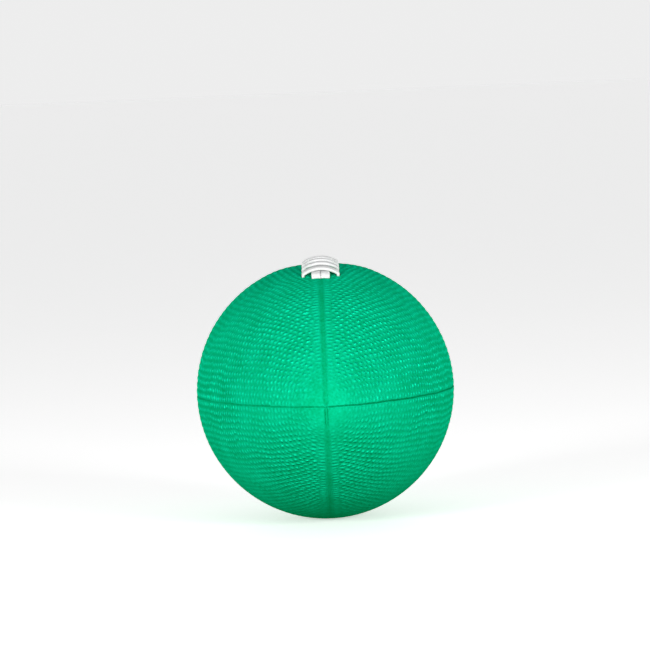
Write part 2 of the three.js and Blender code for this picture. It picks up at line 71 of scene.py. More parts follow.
GIRTH_RADIUS = DIAMETER / 2
NOSE_CENTRE = LENGTH / 2 - NOSE_RADIUS
SIDE_RADIUS = (NOSE_CENTRE**2 + GIRTH_RADIUS**2 - NOSE_RADIUS**2) / (2 * (GIRTH_RADIUS - NOSE_RADIUS))
SIDE_DROP = SIDE_RADIUS - GIRTH_RADIUS
SIDE_ANGLE = math.atan2(NOSE_CENTRE, SIDE_DROP)
upper_low, lower_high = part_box("panel_upper_left")[0].z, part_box("panel_lower_left")[1].z
CENTRE_HEIGHT = (upper_low + lower_high) / 2 / MILLIMETRE


def outline(lean, h=0.0):
    """Distance along the axis and from it. The side is an arc about a point beyond the axis, the nose an arc
    about a point on it; h moves the point out along the normal."""
    on_side = np.abs(lean) <= SIDE_ANGLE
    reach = np.where(on_side, SIDE_RADIUS, NOSE_RADIUS) + h
    start = np.where(on_side, 0.0, np.sign(lean) * NOSE_CENTRE)
    drop = np.where(on_side, SIDE_DROP, 0.0)
    return start + reach * np.sin(lean), reach * np.cos(lean) - drop


def walk(lean):
    """Distance walked on the surface from the girth to a lean: radius times angle on each arc."""
    past = np.maximum(np.abs(lean) - SIDE_ANGLE, 0.0)
    return np.sign(lean) * (SIDE_RADIUS * np.minimum(np.abs(lean), SIDE_ANGLE) + NOSE_RADIUS * past)


def lean_after(distance):
    """The lean that a walk of this distance ends at: the walk, undone."""
    side = np.minimum(np.abs(distance), SIDE_RADIUS * SIDE_ANGLE)
    past = np.abs(distance) - side
    return np.sign(distance) * (side / SIDE_RADIUS + past / NOSE_RADIUS)


print(f"side arc {SIDE_RADIUS:.1f} mm, nose arc {NOSE_RADIUS} mm, centre {CENTRE_HEIGHT:.2f} mm up")

# %% [markdown]
# Where the lacing pulls
#
# A laced ball is a little flat beside its lace, because the lace draws the two panels in. A lattice or a
# sculpt brush could dent it. Here the dip is a number taken off the height of every layer, deepest at the
# middle of the lacing, so the wall and the lace sink together and stay clear of each other.

# %% Lace layout and sink
LACE_WIDTH = 4.2
LACE_THICKNESS = 1.5
LACE_BEND = 0.65  # inside radius of a bend up or down
LACE_TURN = 1.7  # inside radius of a flat turn
BAR_COUNT = 8
BAR_PITCH = 9.7
FACING_END = 4.0  # past the end slots
LACE_SINK = 1.2
SINK_WIDTH = 26.0  # to each side

BEND_RADIUS = LACE_BEND + LACE_THICKNESS / 2
TURN_RADIUS = LACE_TURN + LACE_WIDTH / 2
BARS = (np.arange(BAR_COUNT) - (BAR_COUNT - 1) / 2) * BAR_PITCH
END_SLOT = BARS[-1] + BEND_RADIUS + TURN_RADIUS
SINK_LENGTH = END_SLOT + FACING_END


def half_wave(part):
    """1 at the start and 0 from the end on: half a cosine wave."""
    return (1 + np.cos(np.pi * np.minimum(part, 1.0))) / 2


def sink(lean, angle):
    """Depth of the dip: half a wave along the lacing times half a wave across it."""
    axial, radial = outline(lean)
    across = np.abs((angle + np.pi) % (2 * np.pi) - np.pi) * radial
    return LACE_SINK * half_wave(np.abs(axial) / SINK_LENGTH) * half_wave(across / SINK_WIDTH)


def on_ball(lean, angle, h):
    """Point of the wall at a lean, an angle round the axis and a height above the sunk surface: the outline
    at that height, turned by the angle."""
    lean, angle, h = np.broadcast_arrays(lean, angle, h)
    axial, radial = outline(lean, h - sink(lean, angle))
    return np.stack([radial * np.sin(angle), axial, radial * np.cos(angle) + CENTRE_HEIGHT], axis=-1)


print(f"{BAR_COUNT} bars from {BARS[0]:.1f} to {BARS[-1]:.1f} mm, end slots at {END_SLOT:.1f} mm")

# %% [markdown]
# From arrays to meshes
#
# Two kinds of mesh are enough. A skin joins a row of closed loops, as in a sock, and ends in a fan at each
# end or meets itself in a ring. A shell has a top and a bottom grid with the same cells; cells can be left
# out, and a wall then runs round every hole. Modifiers could thicken and cut a sheet too, but whole arrays
# are quicker and keep every edge where it was worked out. The sign of the volume tells whether the faces
# point out.

# %% Mesh from points
SHARP_ANGLE = math.radians(55)


def signed_volume(points, faces):
    """Sum of the tetrahedra between the origin and the triangles of each face's fan."""
    first = points[faces[:, 0]]
    spokes = points[faces[:, 1:]]
    return np.einsum("ni,nki->", first, np.cross(spokes[:, :-1], spokes[:, 1:])) / 6


def mesh_object(name, points, quads, triangles=np.empty((0, 3), int), marks=None):
    """Object at the origin from points in millimetres. Points that no face uses are dropped, marks are
    stored as one number for each point."""
    if signed_volume(points, quads) + signed_volume(points, triangles) < 0:
        quads, triangles = quads[:, ::-1], triangles[:, ::-1]
    used = np.unique(np.concatenate([quads.ravel(), triangles.ravel()]))
    place = np.zeros(len(points), int)
    place[used] = np.arange(len(used))
    mesh = bpy.data.meshes.new(name)
    faces = [*place[quads].tolist(), *place[triangles].tolist()]
    mesh.from_pydata(points[used] * MILLIMETRE, [], faces)
    for mark, values in (marks or {}).items():
        layer = mesh.attributes.new(mark, "FLOAT", "POINT")
        layer.data.foreach_set("value", np.ascontiguousarray(values[used], dtype=np.float32))
    mesh.shade_smooth()
    mesh.set_sharp_from_angle(angle=SHARP_ANGLE)
    made = bpy.data.objects.new(name, mesh)
    bpy.context.scene.collection.objects.link(made)
    return made


corner = np.vstack([np.zeros(3), np.eye(3)])
corner_faces = np.array([(0, 2, 1), (0, 1, 3), (0, 3, 2), (1, 2, 3)])
print(f"a cube's corner with its faces outward: {6 * signed_volume(corner, corner_faces):+.0f} sixth")


# %% Skin and shell
def skin(name, loops, ring=False, marks=None):
    """Skin over closed loops of points: quads from loop to loop, and a fan at each end or a closed ring."""
    rows, count = loops.shape[:2]
    index = np.arange(rows * count).reshape(rows, count)
    ahead = np.roll(index, -1, axis=0)
    here, ahead = (index, ahead) if ring else (index[:-1], ahead[:-1])
    quads = np.stack([here, np.roll(here, -1, 1), np.roll(ahead, -1, 1), ahead], axis=-1).reshape(-1, 4)
    points = loops.reshape(-1, 3)
    marks = {mark: values.ravel() for mark, values in (marks or {}).items()}
    if ring:
        return mesh_object(name, points, quads, marks=marks)
    middles = loops[[0, -1]].mean(axis=1)
    near, far = np.full(count, len(points)), np.full(count, len(points) + 1)
    first, last = index[0], index[-1]
    fans = [[near, np.roll(first, -1), first], [far, last, np.roll(last, -1)]]
    triangles = np.concatenate([np.stack(fan, axis=-1) for fan in fans])
    marks = {mark: np.append(values, [0.0, 0.0]) for mark, values in marks.items()}
    return mesh_object(name, np.concatenate([points, middles]), quads, triangles, marks)


def shell(name, top, bottom, keep=None):
    """Shell between two grids: a quad above and below for each kept cell, and a wall wherever a kept cell
    meets one that is left out or the border. All cells are kept unless keep says which."""
    rows, count = top.shape[:2]
    size = rows * count
    keep = np.ones((rows - 1, count - 1), bool) if keep is None else keep
    index = np.arange(size).reshape(rows, count)
    cells = np.stack([index[:-1, :-1], index[:-1, 1:], index[1:, 1:], index[1:, :-1]], axis=-1)[keep]
    grown = np.pad(keep, 1)

    def walls(start, end, after, before):
        """Quads from top to bottom on the grid lines that part a kept cell from one that is left out."""
        runs = ((end, start, after & ~before), (start, end, before & ~after))
        pairs = [(a[bare], b[bare]) for a, b, bare in runs]
        return [np.stack([a, b, b + size, a + size], axis=-1) for a, b in pairs]

    across = walls(index[:, :-1], index[:, 1:], grown[1:, 1:-1], grown[:-1, 1:-1])
    along = walls(index[1:, :], index[:-1, :], grown[1:-1, 1:], grown[1:-1, :-1])
    quads = np.concatenate([cells, cells[:, ::-1] + size, *across, *along])
    return mesh_object(name, np.concatenate([top.reshape(-1, 3), bottom.reshape(-1, 3)]), quads)


# %% [markdown]
# Shader sums
#
# A finish is a graph of nodes. It could be put together by hand in the shader editor. Written as Python
# sums it stays readable: a Wire holds one socket, and plus, minus and times add the Math node for it. Every
# other node comes from one method, node.

# %% Wire
class Wire:
    """A shader socket that takes part in sums. Each operator adds one Math node."""

    def __init__(self, tree, socket=None):
        self.tree = tree
        self.socket = socket

    def node(self, kind, settings=None, inputs=None, output=0):
        """Node of a type: its settings first, then numbers or wires for its sockets. Returns one output."""
        made = self.tree.nodes.new(kind)
        for name, value in (settings or {}).items():
            setattr(made, name, value)
        for name, value in (inputs or {}).items():
            if isinstance(value, Wire):
                self.tree.links.new(value.socket, made.inputs[name])
            else:
                made.inputs[name].default_value = value
        return Wire(self.tree, made.outputs[output] if made.outputs else None)

    def math(self, operation, first, second=0.0):
        """One step of arithmetic on two numbers or wires."""
        return self.node("ShaderNodeMath", {"operation": operation}, {0: first, 1: second})

    def __add__(self, other):
        return self.math("ADD", self, other)

    def __sub__(self, other):
        return self.math("SUBTRACT", self, other)

    def __rsub__(self, other):
        return self.math("SUBTRACT", other, self)

    def __mul__(self, other):
        return self.math("MULTIPLY", self, other)

    __radd__ = __add__
    __rmul__ = __mul__

    def between(self, low, high):
        """0 where the wire is at low, 1 where it is at high, with a smooth step between."""
        settings = {"interpolation_type": "SMOOTHSTEP"}
        return self.node("ShaderNodeMapRange", settings, {"Value": self, "From Min": low, "From Max": high})

    def tint(self, first, second):
        """Colour between two colours, with this wire as the share of the second."""
        inputs = {0: self, 6: (*first, 1.0), 7: (*second, 1.0)}
        return self.node("ShaderNodeMix", {"data_type": "RGBA"}, inputs, 2)

    def bump(self, height):
        """Surface normal raised by this wire, which is in shares of height in metres."""
        inputs = {"Height": self, "Distance": height, "Strength": 1.0}
        return self.node("ShaderNodeBump", {}, inputs, "Normal")


# %% Finish helpers
def new_finish(name):
    """Empty material and the wire that its nodes start from."""
    material = bpy.data.materials.new(name)
    material.use_nodes = True
    material.node_tree.nodes.clear()
    return material, Wire(material.node_tree)


def object_place(sheet):
    """Place in the object's own metres. It stays on the piece, wherever the camera is."""
    return sheet.node("ShaderNodeTexCoord", output="Object")


def stored(sheet, name):
    """A number that the mesh stores at each point."""
    return sheet.node("ShaderNodeAttribute", {"attribute_name": name}, output="Fac")


def noise(sheet, place, scale, detail=2.0):
    """Noise in space: scale is how many blobs fit in a metre."""
    return sheet.node("ShaderNodeTexNoise", {}, {"Vector": place, "Scale": scale, "Detail": detail})


def coat(material, sheet, **sockets):
    """Principled surface with these sockets, wired to the material's output."""
    names = {name.replace("_", " "): value for name, value in sockets.items()}
    surface = sheet.node("ShaderNodeBsdfPrincipled", {}, names)
    sheet.node("ShaderNodeOutputMaterial", {}, {"Surface": surface})
    print("finish:", material.name, "with", len(material.node_tree.nodes), "nodes")
    return material


# %% [markdown]
# Green rubber
#
# The cover is moulded rubber, dyed right through. Its colour is painted darker in the hollows as shade and
# lighter on the crowns of the pebbles as a painted highlight, fine creases break the surface, and what
# gleams on the crowns is green and not white. A painted image could show that from one side. Here the finish
# reads the relief and painted shade that each point of the mesh stores, so it follows the surface. A share
# of
# Metallic makes the gleam green, and the white gloss is turned off.

# %% Cover finish
# painted shade and painted highlight: the hollows take the darker green and the crowns the lighter one, by
# the stored relief; mottle and creases also move the colour between them
SHADED_HOLLOW_GREEN = (0.0, 0.26, 0.085)
HIGHLIT_CROWN_GREEN = (0.003, 0.74, 0.435)
SHADE_AND_HIGHLIGHT_SHARE = 0.6  # of the way from hollow to crown
MOTTLE_SHARE = 0.3
CREASE_SHARE = 0.5
TONE_SHIFT = 0.14
MOTTLES = 90.0  # in a metre
CREASES = 800.0  # in a metre
CREASE_DETAIL = 3.0
CREASE_RISE = 0.3  # as part of a pebble's
COVER_BUMP = 0.0007  # metres
GLEAM = (0.25, 0.7)  # relief at which the gleam starts and is full
COVER_ROUGHNESS = 0.6
GLEAM_SMOOTHNESS = 0.15  # taken off the roughness
MOTTLE_ROUGHNESS = 0.1
COVER_METALLIC = 0.03
GLEAM_METALLIC = 0.4  # added to it


def cover_rubber():
    """Rubber whose colour, gloss and fine shading all rise with the relief; mottle and creases vary them.
    The colour is painted shade in the hollows and seams and a painted highlight on the crowns.
    """
    material, sheet = new_finish("green_pebbled_rubber")
    place = object_place(sheet)
    relief = stored(sheet, "relief")
    mottle = noise(sheet, place, MOTTLES)
    crease = noise(sheet, place, CREASES, CREASE_DETAIL)
    # painted shade and highlight: the stored relief darkens the colour in hollows and seams and lightens it
    # on crowns
    tone = relief * SHADE_AND_HIGHLIGHT_SHARE + mottle * MOTTLE_SHARE + crease * CREASE_SHARE - TONE_SHIFT
    gleam = relief.between(*GLEAM)
    return coat(
        material,
        sheet,
        Base_Color=tone.tint(SHADED_HOLLOW_GREEN, HIGHLIT_CROWN_GREEN),
        Roughness=COVER_ROUGHNESS - gleam * GLEAM_SMOOTHNESS + (mottle - 0.5) * MOTTLE_ROUGHNESS,
        Metallic=COVER_METALLIC + gleam * GLEAM_METALLIC,
        Specular_IOR_Level=0.0,
        Specular_Tint=(0.0, 1.0, 1.0, 1.0),
        Normal=(relief + crease * CREASE_RISE).bump(COVER_BUMP),
    )


green_rubber = cover_rubber()

# %% [markdown]
# Pebbles
#
# The mould covers each panel with rows of small pebbles. The rows follow the side seam and sway a little,
# and one more row follows the upright seam, as the top and bottom seams are called here. Instances of one
# pebble would leave gaps, and a texture would not catch the light. So each point of the panel looks for its
# nearest and its second nearest pebble: where both are equally far lies the groove between two of them. The
# grooves between the rows get deeper towards the girth, where the rows are what one sees.

# %% Pebble layout
QUARTER_TURN = math.pi / 2  # from one seam to the next
PEBBLE_ACROSS = 3.3  # from row to row
PEBBLE_ALONG = 2.35
NOSE_REACH = (6.0, 30.0)  # distance from the axis over which values for a nose pass into the others
NOSE_LENGTH = 0.75  # length of a pebble at a nose as part of the length elsewhere
JITTER = (0.34, 0.18)  # at a nose and elsewhere, in pitches
ROW_STAGGER = 0.3
SCATTER = (12.9898, 78.233, 43758.5453)  # for a row, for a place, and for the sine of their sum


def ease(x):
    """Smooth step: 0 below 0, 1 above 1, and 3x2 - 2x3 between."""
    x = np.clip(x, 0.0, 1.0)
    return x * x * (3 - 2 * x)


def blend(x, reach, ends):
    """The first of two ends before a reach of x, the second after it, and a smooth step between them."""
    return ends[0] + (ends[1] - ends[0]) * ease((x - reach[0]) / (reach[1] - reach[0]))


def scatter(row, place, seed):
    """Numbers from -1 to 1 that look random but depend only on a pebble's row and place: what stands behind
    the decimal point of a large sine."""
    sine = np.sin(row * SCATTER[0] + place * SCATTER[1] + seed)
    return 2 * np.modf(np.abs(sine * SCATTER[2]))[0] - 1


def pebble_length(radius):
    """Pebble pitch along a row: smaller at the noses."""
    return blend(radius, NOSE_REACH, (NOSE_LENGTH, 1.0)) * PEBBLE_ALONG


print(f"pebbles {PEBBLE_ALONG} by {PEBBLE_ACROSS} mm, at the noses {pebble_length(0.0):.2f} mm long")

# %% Nearest pebbles
NEIGHBOURS = (-1, 0, 1)
FAR_OFF = 99.0  # pitches
ALONG_SEED = 5  # added to the seed for the places along a row


def nearest_pebbles(off, angle, counted, radius, slope, seed, owns):
    """Distances in pitches to the nearest and second nearest pebble of one family. Off is the distance from
    the lip of the seam that the rows follow, angle the angle from it, counted the pebbles walked past from
    the nose. Owns tells which pebbles belong to the family, by their distance from the lip and the ball's
    radius there."""
    length, jitter = pebble_length(radius), blend(radius, NOSE_REACH, JITTER)
    row_here = np.floor(off / PEBBLE_ACROSS)
    near, second = np.full(off.shape, FAR_OFF), np.full(off.shape, FAR_OFF)
    for row in (row_here + step for step in NEIGHBOURS):
        shift = 0.5 * row + ROW_STAGGER * scatter(row, 0.5, seed)
        place_here = np.round(counted - shift)
        for place in (place_here + step for step in NEIGHBOURS):
            across = (row + 0.5 + jitter * scatter(row, place, seed)) * PEBBLE_ACROSS
            along = counted - place - shift - jitter * scatter(place, row, seed + ALONG_SEED)
            aside = off - across - angle * slope * along * length
            owned = (row >= 0) & owns(across, radius - slope * along * length)
            distance = np.where(owned, np.hypot(along, aside / PEBBLE_ACROSS), FAR_OFF)
            second = np.minimum(second, np.maximum(near, distance))
            near = np.minimum(near, distance)
    return near, second


print(f"each point looks at {len(NEIGHBOURS) ** 2} pebbles of a family")

# %% Pebble relief
ROW_SWAY = 0.36
SWAY_WAVES = (6.1, 3.3)  # millimetres along the ball for a radian of each wave
SWAY_LEAD = 9.0  # radians by which the second wave is ahead, for each radian from the side seam
SWAY_START = 8.0  # distance from the side seam at which the rows sway in full
SECOND_WAVE = 0.6  # height of a second wave as part of the first
ROW_GROOVE = (0.04, 0.6)  # depth of the groove between rows, towards a nose and at the girth
GROOVE_PLACE = (0.45, 1.0)  # it starts and is deepest here, from the middle of a row to its border
GIRTHWARD = (36.0, 60.0)  # distance from the axis over which such values pass into those for the girth
CROWN_WIDTH = 0.95
CROWN_SHARPNESS = 1.6  # above 1, a pebble is a narrow crown on a wide foot
EDGE_ROW = 3.0  # width of the row along the upright seam
EDGE_CLEARANCE = 0.45
EDGE_SEED = 1  # added to the seed for that row


def two_waves(along, waves, leads):
    """Sum of a sine wave and a smaller one, each with its millimetres for a radian and its lead."""
    return np.sin(along / waves[0] + leads[0]) + SECOND_WAVE * np.sin(along / waves[1] + leads[1])


def pebbles(grid, seed):
    """Relief from 0 in the grooves to 1 on the crowns: a rounded rise over the difference between the two
    nearest distances, less where two rows meet."""
    radius, slope, walked = outline(grid.lean)[1], -np.sin(grid.lean), walk(grid.lean)
    steps = np.gradient(walked[:, 0]) / pebble_length(radius[:, 0])
    counted = np.cumsum(steps)[:, None] + 0 * grid.angle
    from_side = QUARTER_TURN - grid.angle
    sway = ROW_SWAY * two_waves(walked, SWAY_WAVES, (seed, from_side * SWAY_LEAD))
    off_side = radius * from_side - grid.side_lip + sway * ease(radius * from_side / SWAY_START)
    off_edge = radius * grid.angle - grid.upright_lip

    def clear_of_edge(across, r):
        """True for pebbles that leave room for the row along the upright seam."""
        room = r * QUARTER_TURN - grid.upright_lip - grid.side_lip - across
        return room > EDGE_ROW + EDGE_CLEARANCE

    def along_edge(across, _):
        """True for the one row along the upright seam."""
        return across < EDGE_ROW

    ball = (counted, radius, slope)
    near_a, second_a = nearest_pebbles(off_side, from_side, *ball, seed, clear_of_edge)
    near_b, second_b = nearest_pebbles(off_edge, grid.angle, *ball, seed + EDGE_SEED, along_edge)
    near = np.minimum(near_a, near_b)
    second = np.minimum(np.minimum(second_a, second_b), np.maximum(near_a, near_b))
    rise = ease((second - near) / CROWN_WIDTH) ** CROWN_SHARPNESS
    from_middle = 2 * np.abs(off_side / PEBBLE_ACROSS - np.floor(off_side / PEBBLE_ACROSS) - 0.5)
    groove = blend(radius, GIRTHWARD, ROW_GROOVE) * blend(from_middle, GROOVE_PLACE, (0.0, 1.0))
    return rise * (1 - groove * (near_a < near_b))


print(f"rows {PEBBLE_ACROSS} mm apart sway by up to {ROW_SWAY * (1 + SECOND_WAVE):.2f} mm")

# %% [markdown]
# Seams
#
# The top and bottom seams are wide shallow channels with faint rungs across them. The two side seams are
# narrow grooves that wander a little, the left one tighter than the right, with a raised lip on the panel
# below. Next to each nose, two fine cuts run beside the middle of the bottom seam. Seams could be cut with
# booleans. Here a seam is a drop in the height of the panel's own points, so that the pebbles fade into it.

# %% Seam profiles
UPRIGHT_SEAM_WIDTH = 2.8
RUNG_PITCH = 3.3
RUNG_HEIGHT = 0.06
RUNG_SHARPNESS = 3
SIDE_SEAM_WIDTH = 0.78
SEAM_WANDER = 0.14
WANDER_WAVES = (4.7, 2.1)  # millimetres along the ball for a radian of each wave
WANDER_LEAD = 1.0
SEAM_TAPER_RADIUS = 1.8  # where the ball is slimmer than this, so are the seams
LIP_HEIGHT = 0.12
LIP_PLACE = 0.45  # from the edge of the side seam
LIP_WIDTH = 0.35
CUT_PLACE = 0.6  # from the middle of the bottom seam
CUT_WIDTH = 0.22
CUT_DEPTH = 0.25
CUT_END = (8.0, 10.0)  # distance from the axis at which the cuts begin to close, and where they are shut
TINY = 1e-6  # keeps a division sound, and tells two points apart


def seam_taper(radius):
    """1, and less in proportion to the radius at the very tip."""
    return np.minimum(1.0, radius / SEAM_TAPER_RADIUS)


def seam_drop(off, lip, floor):
    """0 at the lip, 1 on the floor, with a smooth step between."""
    return 1 - ease((off / np.maximum(lip, TINY) - floor) / (1 - floor))


def side_wander(along):
    """How far a side seam strays from its plane: two slow waves."""
    return SEAM_WANDER * two_waves(along, WANDER_WAVES, (0.0, WANDER_LEAD)) / (1 + SECOND_WAVE)


def rungs(along):
    """Height of the rungs: a raised cosine, narrowed by a power."""
    return RUNG_HEIGHT * ((1 + np.cos(2 * np.pi * along / RUNG_PITCH)) / 2) ** RUNG_SHARPNESS


def bell(off, place, width):
    """1 at a place, and down to nothing on both sides of it in a bell curve."""
    return np.exp(-(((off - place) / width) ** 2))


def raised_lip(past_side):
    """Height of the lip below a side seam: a bell curve."""
    return LIP_HEIGHT * bell(past_side, LIP_PLACE, LIP_WIDTH)


def fine_cut(off_upright, radius):
    """Depth of the cuts: a bell curve across, closed by a smooth step away from the nose."""
    return CUT_DEPTH * bell(off_upright, CUT_PLACE, CUT_WIDTH) * blend(radius, CUT_END, (1.0, 0.0))


print(f"seams {UPRIGHT_SEAM_WIDTH} and {SIDE_SEAM_WIDTH} mm wide, a rung every {RUNG_PITCH} mm")

# %% [markdown]
# Lace holes
#
# The lace passes through oblong holes beside the top seam, and its strands end in a slot at the front and
# the back. In the rubber they are deep wells and in the layers below they are real openings. Both come from
# the same test, which tells whether a point over the seam lies in a hole. Booleans would have to cut six
# pieces.

# %% Lace holes
HOLE_SPACING = 17.5
HOLE_CLEARANCE = 0.35
STRAND_GAP = 0.3

HOLE_OFFSET = HOLE_SPACING / 2
STRAND_OFFSET = (LACE_WIDTH + STRAND_GAP) / 2
STRANDS_WIDTH = 2 * STRAND_OFFSET + LACE_WIDTH
hole_half = np.array([LACE_THICKNESS / 2 + HOLE_CLEARANCE, LACE_WIDTH / 2 + HOLE_CLEARANCE])
slot_half = np.array([STRANDS_WIDTH / 2 + HOLE_CLEARANCE, LACE_THICKNESS / 2 + HOLE_CLEARANCE])
hole_edges = [slot_half[0], HOLE_OFFSET - hole_half[0], HOLE_OFFSET + hole_half[0]]


def in_holes(s, y):
    """True inside a lace hole or an end slot: s across the top seam, y along the axis."""
    nearest_bar = np.abs(y - BARS[:, None, None]).min(axis=0)
    hole = (np.abs(s - HOLE_OFFSET) < hole_half[0]) & (nearest_bar < hole_half[1])
    return hole | ((s < slot_half[0]) & (np.abs(np.abs(y) - END_SLOT) < slot_half[1]))


def hole_breaks(wall=0.0):
    """Places along the axis where a lace hole or an end slot begins and ends: the middles less and plus half
    the lengths. Each is doubled where a wall has to stand between the two."""
    slots = np.array([-END_SLOT, END_SLOT])
    ends = [BARS - hole_half[1], BARS + hole_half[1], slots - slot_half[1], slots + slot_half[1]]
    ends = np.concatenate(ends)
    return np.concatenate([ends - wall, ends + wall]) if wall else ends


print(f"{2 * BAR_COUNT} holes and 2 slots, {len(hole_breaks())} edges across the grid")

# %% [markdown]
# Panel grid
#
# A panel is a grid of rows from nose to nose and columns from its upright seam to its side seam. An even
# grid would blur the edges of the seams and holes, or would need far more points. So extra lines lie just
# on these edges, and the other lines are spread evenly between them.

# %% Rows
PANEL_ROWS = {"upper": 425, "lower": 470}
NOSE_CROWDING = 0.12  # rows lie closer at the noses by this share
HOLE_WALL = 0.1  # width of the slope between a hole's edge and its floor
TIP_RADIUS = 0.1  # where the points of the panels meet at each nose
TIP_LEAN = math.acos(TIP_RADIUS / NOSE_RADIUS)


def row_leans(count, breaks=()):
    """Leans of the rows from nose to nose, closer at the noses, with extra rows where the surface breaks."""
    share = np.linspace(-1.0, 1.0, count)
    even = walk(np.array(TIP_LEAN)) * (share + NOSE_CROWDING * np.sin(np.pi * share) / np.pi)
    rows = lean_after(even)
    extra = np.arcsin(np.asarray(breaks, float) / SIDE_RADIUS)
    if len(extra):
        clear = np.abs(rows[:, None] - extra).min(axis=1) > HOLE_WALL / SIDE_RADIUS
        rows = np.sort(np.concatenate([rows[clear], extra]))
    return rows[:, None]


print(f"rows from lean {math.degrees(-TIP_LEAN):.1f} to {math.degrees(TIP_LEAN):.1f} degrees")

# %% Columns
PANEL_COLUMNS = {"upper": 166, "lower": 178}  # from the holes or the upright seam to the side seam's edge
UPRIGHT_FLOOR = 0.3  # part of the upright seam's width that is floor
SEAM_COLUMNS = [3, 5]  # on its floor and on its slope
HOLE_COLUMNS = [6, 6, 4]  # up to each edge of the holes
SIDE_COLUMNS = 7  # in the side seam
HOLE_TAPER_RADIUS = 30.0  # the lines for the lace holes draw together where the ball is slimmer than this


def columns(knots, steps):
    """Distances from the upright seam for each row: evenly spread between one knot and the next."""
    parts = [
        low + (high - low) * np.linspace(0.0, 1.0, count, endpoint=False)
        for low, high, count in zip(knots[:-1], knots[1:], steps)
    ]
    return np.concatenate([*parts, knots[-1]], axis=1)


def panel_grid(tier):
    """Lean and angle from the upright seam for the panel's outer points, and half of both seams' widths."""
    lean = row_leans(PANEL_ROWS[tier], hole_breaks(HOLE_WALL / 2) if tier == "upper" else ())
    radius = outline(lean)[1]
    upright_lip = UPRIGHT_SEAM_WIDTH / 2 * seam_taper(radius)
    side_lip = SIDE_SEAM_WIDTH / 2 * seam_taper(radius)
    knots, steps = [0 * radius, upright_lip * UPRIGHT_FLOOR, upright_lip], [*SEAM_COLUMNS]
    if tier == "upper":
        shrink = np.minimum(1.0, radius / HOLE_TAPER_RADIUS)
        for edge, count in zip(hole_edges, HOLE_COLUMNS):
            knots += [(edge - HOLE_WALL / 2) * shrink, (edge + HOLE_WALL / 2) * shrink]
            steps += [count, 1]
    quarter = radius * QUARTER_TURN
    knots += [quarter - side_lip - SEAM_WANDER, quarter]
    steps += [PANEL_COLUMNS[tier], SIDE_COLUMNS]
    angle = columns(knots, steps) / radius
    lean = np.broadcast_to(lean, angle.shape)
    return SimpleNamespace(lean=lean, angle=angle, upright_lip=upright_lip, side_lip=side_lip)


for tier in PANEL_ROWS:
    print(f"{tier} panels: {' by '.join(str(count) for count in panel_grid(tier).angle.shape)} outer points")

# %% [markdown]
# Valve's hole
#
# The valve sits in the lower right panel, half way between its seams. The panel has a round hole there,
# with a smooth rim. A boolean would leave slivers between the pebbles. Instead, grid points near the rim
# are drawn on to it, so that it comes out round, and the points inside are lowered.

# %% Valve's hole
VALVE_PANEL = ("lower", "right")
VALVE_HOLE_RADIUS = 4.3
VALVE_RIM = 0.7
VALVE_SMOOTH_RADIUS = (6.0, 8.5)  # no pebbles inside the first radius, all of them from the second
RIM_PULL = 0.85  # share of the way


def valve_polar(grid):
    """Distance and direction from the valve's middle, measured on the unrolled panel."""
    along, across = walk(grid.lean), GIRTH_RADIUS * (grid.angle - QUARTER_TURN / 2)
    return np.hypot(along, across), np.arctan2(along, across)


def draw_to_rim(grid):
    """Move the points near the hole most of the way to its rim, less the farther they are from it."""
    distance, turn = valve_polar(grid)
    rim = VALVE_HOLE_RADIUS + VALVE_RIM / 2
    pull = RIM_PULL * (rim - distance) * bell(distance, rim, VALVE_RIM)
    grid.lean = grid.lean + pull * np.sin(turn) / SIDE_RADIUS
    grid.angle = grid.angle + pull * np.cos(turn) / GIRTH_RADIUS


print(f"valve's hole {2 * VALVE_HOLE_RADIUS} mm wide in the {' '.join(VALVE_PANEL)} panel")

# %% [markdown]
# Panels
#
# On the real ball the pebbles are not alike everywhere. They are low at the noses and round the girth, and
# they stand out less in the row beside an upright seam and, near a nose, beside the side seams. All of that
# is a share or a contrast that multiplies the relief. One number for each point, the tone, goes with the
# height and tells the finish how light the rubber is. It is painted shade and painted highlight: dark in the
# hollows, light on the crowns, and darker in the seams and cuts by their depth. Smooth rubber and the floors
# of the seams have tones of their own, which are painted shade too.

# %% Pebbles and their surroundings
PEBBLE_HEIGHT = 0.28
FULL_PEBBLE = (5.0, 30.0)  # distance from the axis over which the pebbles rise from a nose
NOSE_PEBBLE_RISE = 0.22
CALM_PEBBLE = (44.0, 64.0)  # and over which they get lower again
GIRTH_PEBBLE_RISE = {"upper": 0.5, "lower": 0.36}
UPRIGHT_FADE, SIDE_FADE = 0.6, 0.5  # distance from a seam's lip at which the pebbles are there in full
UPRIGHT_CONTRAST = {"upper": (1.15, 1.15), "lower": (0.87, 0.5)}  # towards a nose and at the girth
SIDE_CONTRAST = {"upper": (0.65, 2.1), "lower": (0.5, 2.3)}  # the same next to a side seam
SIDE_REACH = (0.0, math.radians(42))  # angle from a side seam over which the one passes into the other
FIRST_ROWS = (0.0, 2 * EDGE_ROW)  # distance from the upright seam over which the contrast comes up
FIRST_CONTRAST = (0.45, 1.0)


def girth_calm(tier, radius):
    """1, and less towards the girth."""
    return blend(radius, CALM_PEBBLE, (1.0, GIRTH_PEBBLE_RISE[tier]))


def pebble_share(tier, radius, past_upright, past_side):
    """How high the pebbles are: low at a nose, calm at the girth, and nothing in the seams."""
    share = blend(radius, FULL_PEBBLE, (NOSE_PEBBLE_RISE, 1.0)) * girth_calm(tier, radius)
    return share * ease(past_upright / UPRIGHT_FADE) * ease(past_side / SIDE_FADE)


def pebble_contrast(tier, angle, radius, past_upright):
    """How far the pebbles stand out from their mean: the value at the side seam passes into the one at the
    upright seam, both change towards the girth, and the first rows are calmer."""
    ends = [blend(radius, GIRTHWARD, contrast[tier]) for contrast in (SIDE_CONTRAST, UPRIGHT_CONTRAST)]
    return blend(QUARTER_TURN - angle, SIDE_REACH, ends) * blend(past_upright, FIRST_ROWS, FIRST_CONTRAST)


print(f"pebbles are up to {PEBBLE_HEIGHT} mm high, {NOSE_PEBBLE_RISE * PEBBLE_HEIGHT:.2f} mm at the noses")

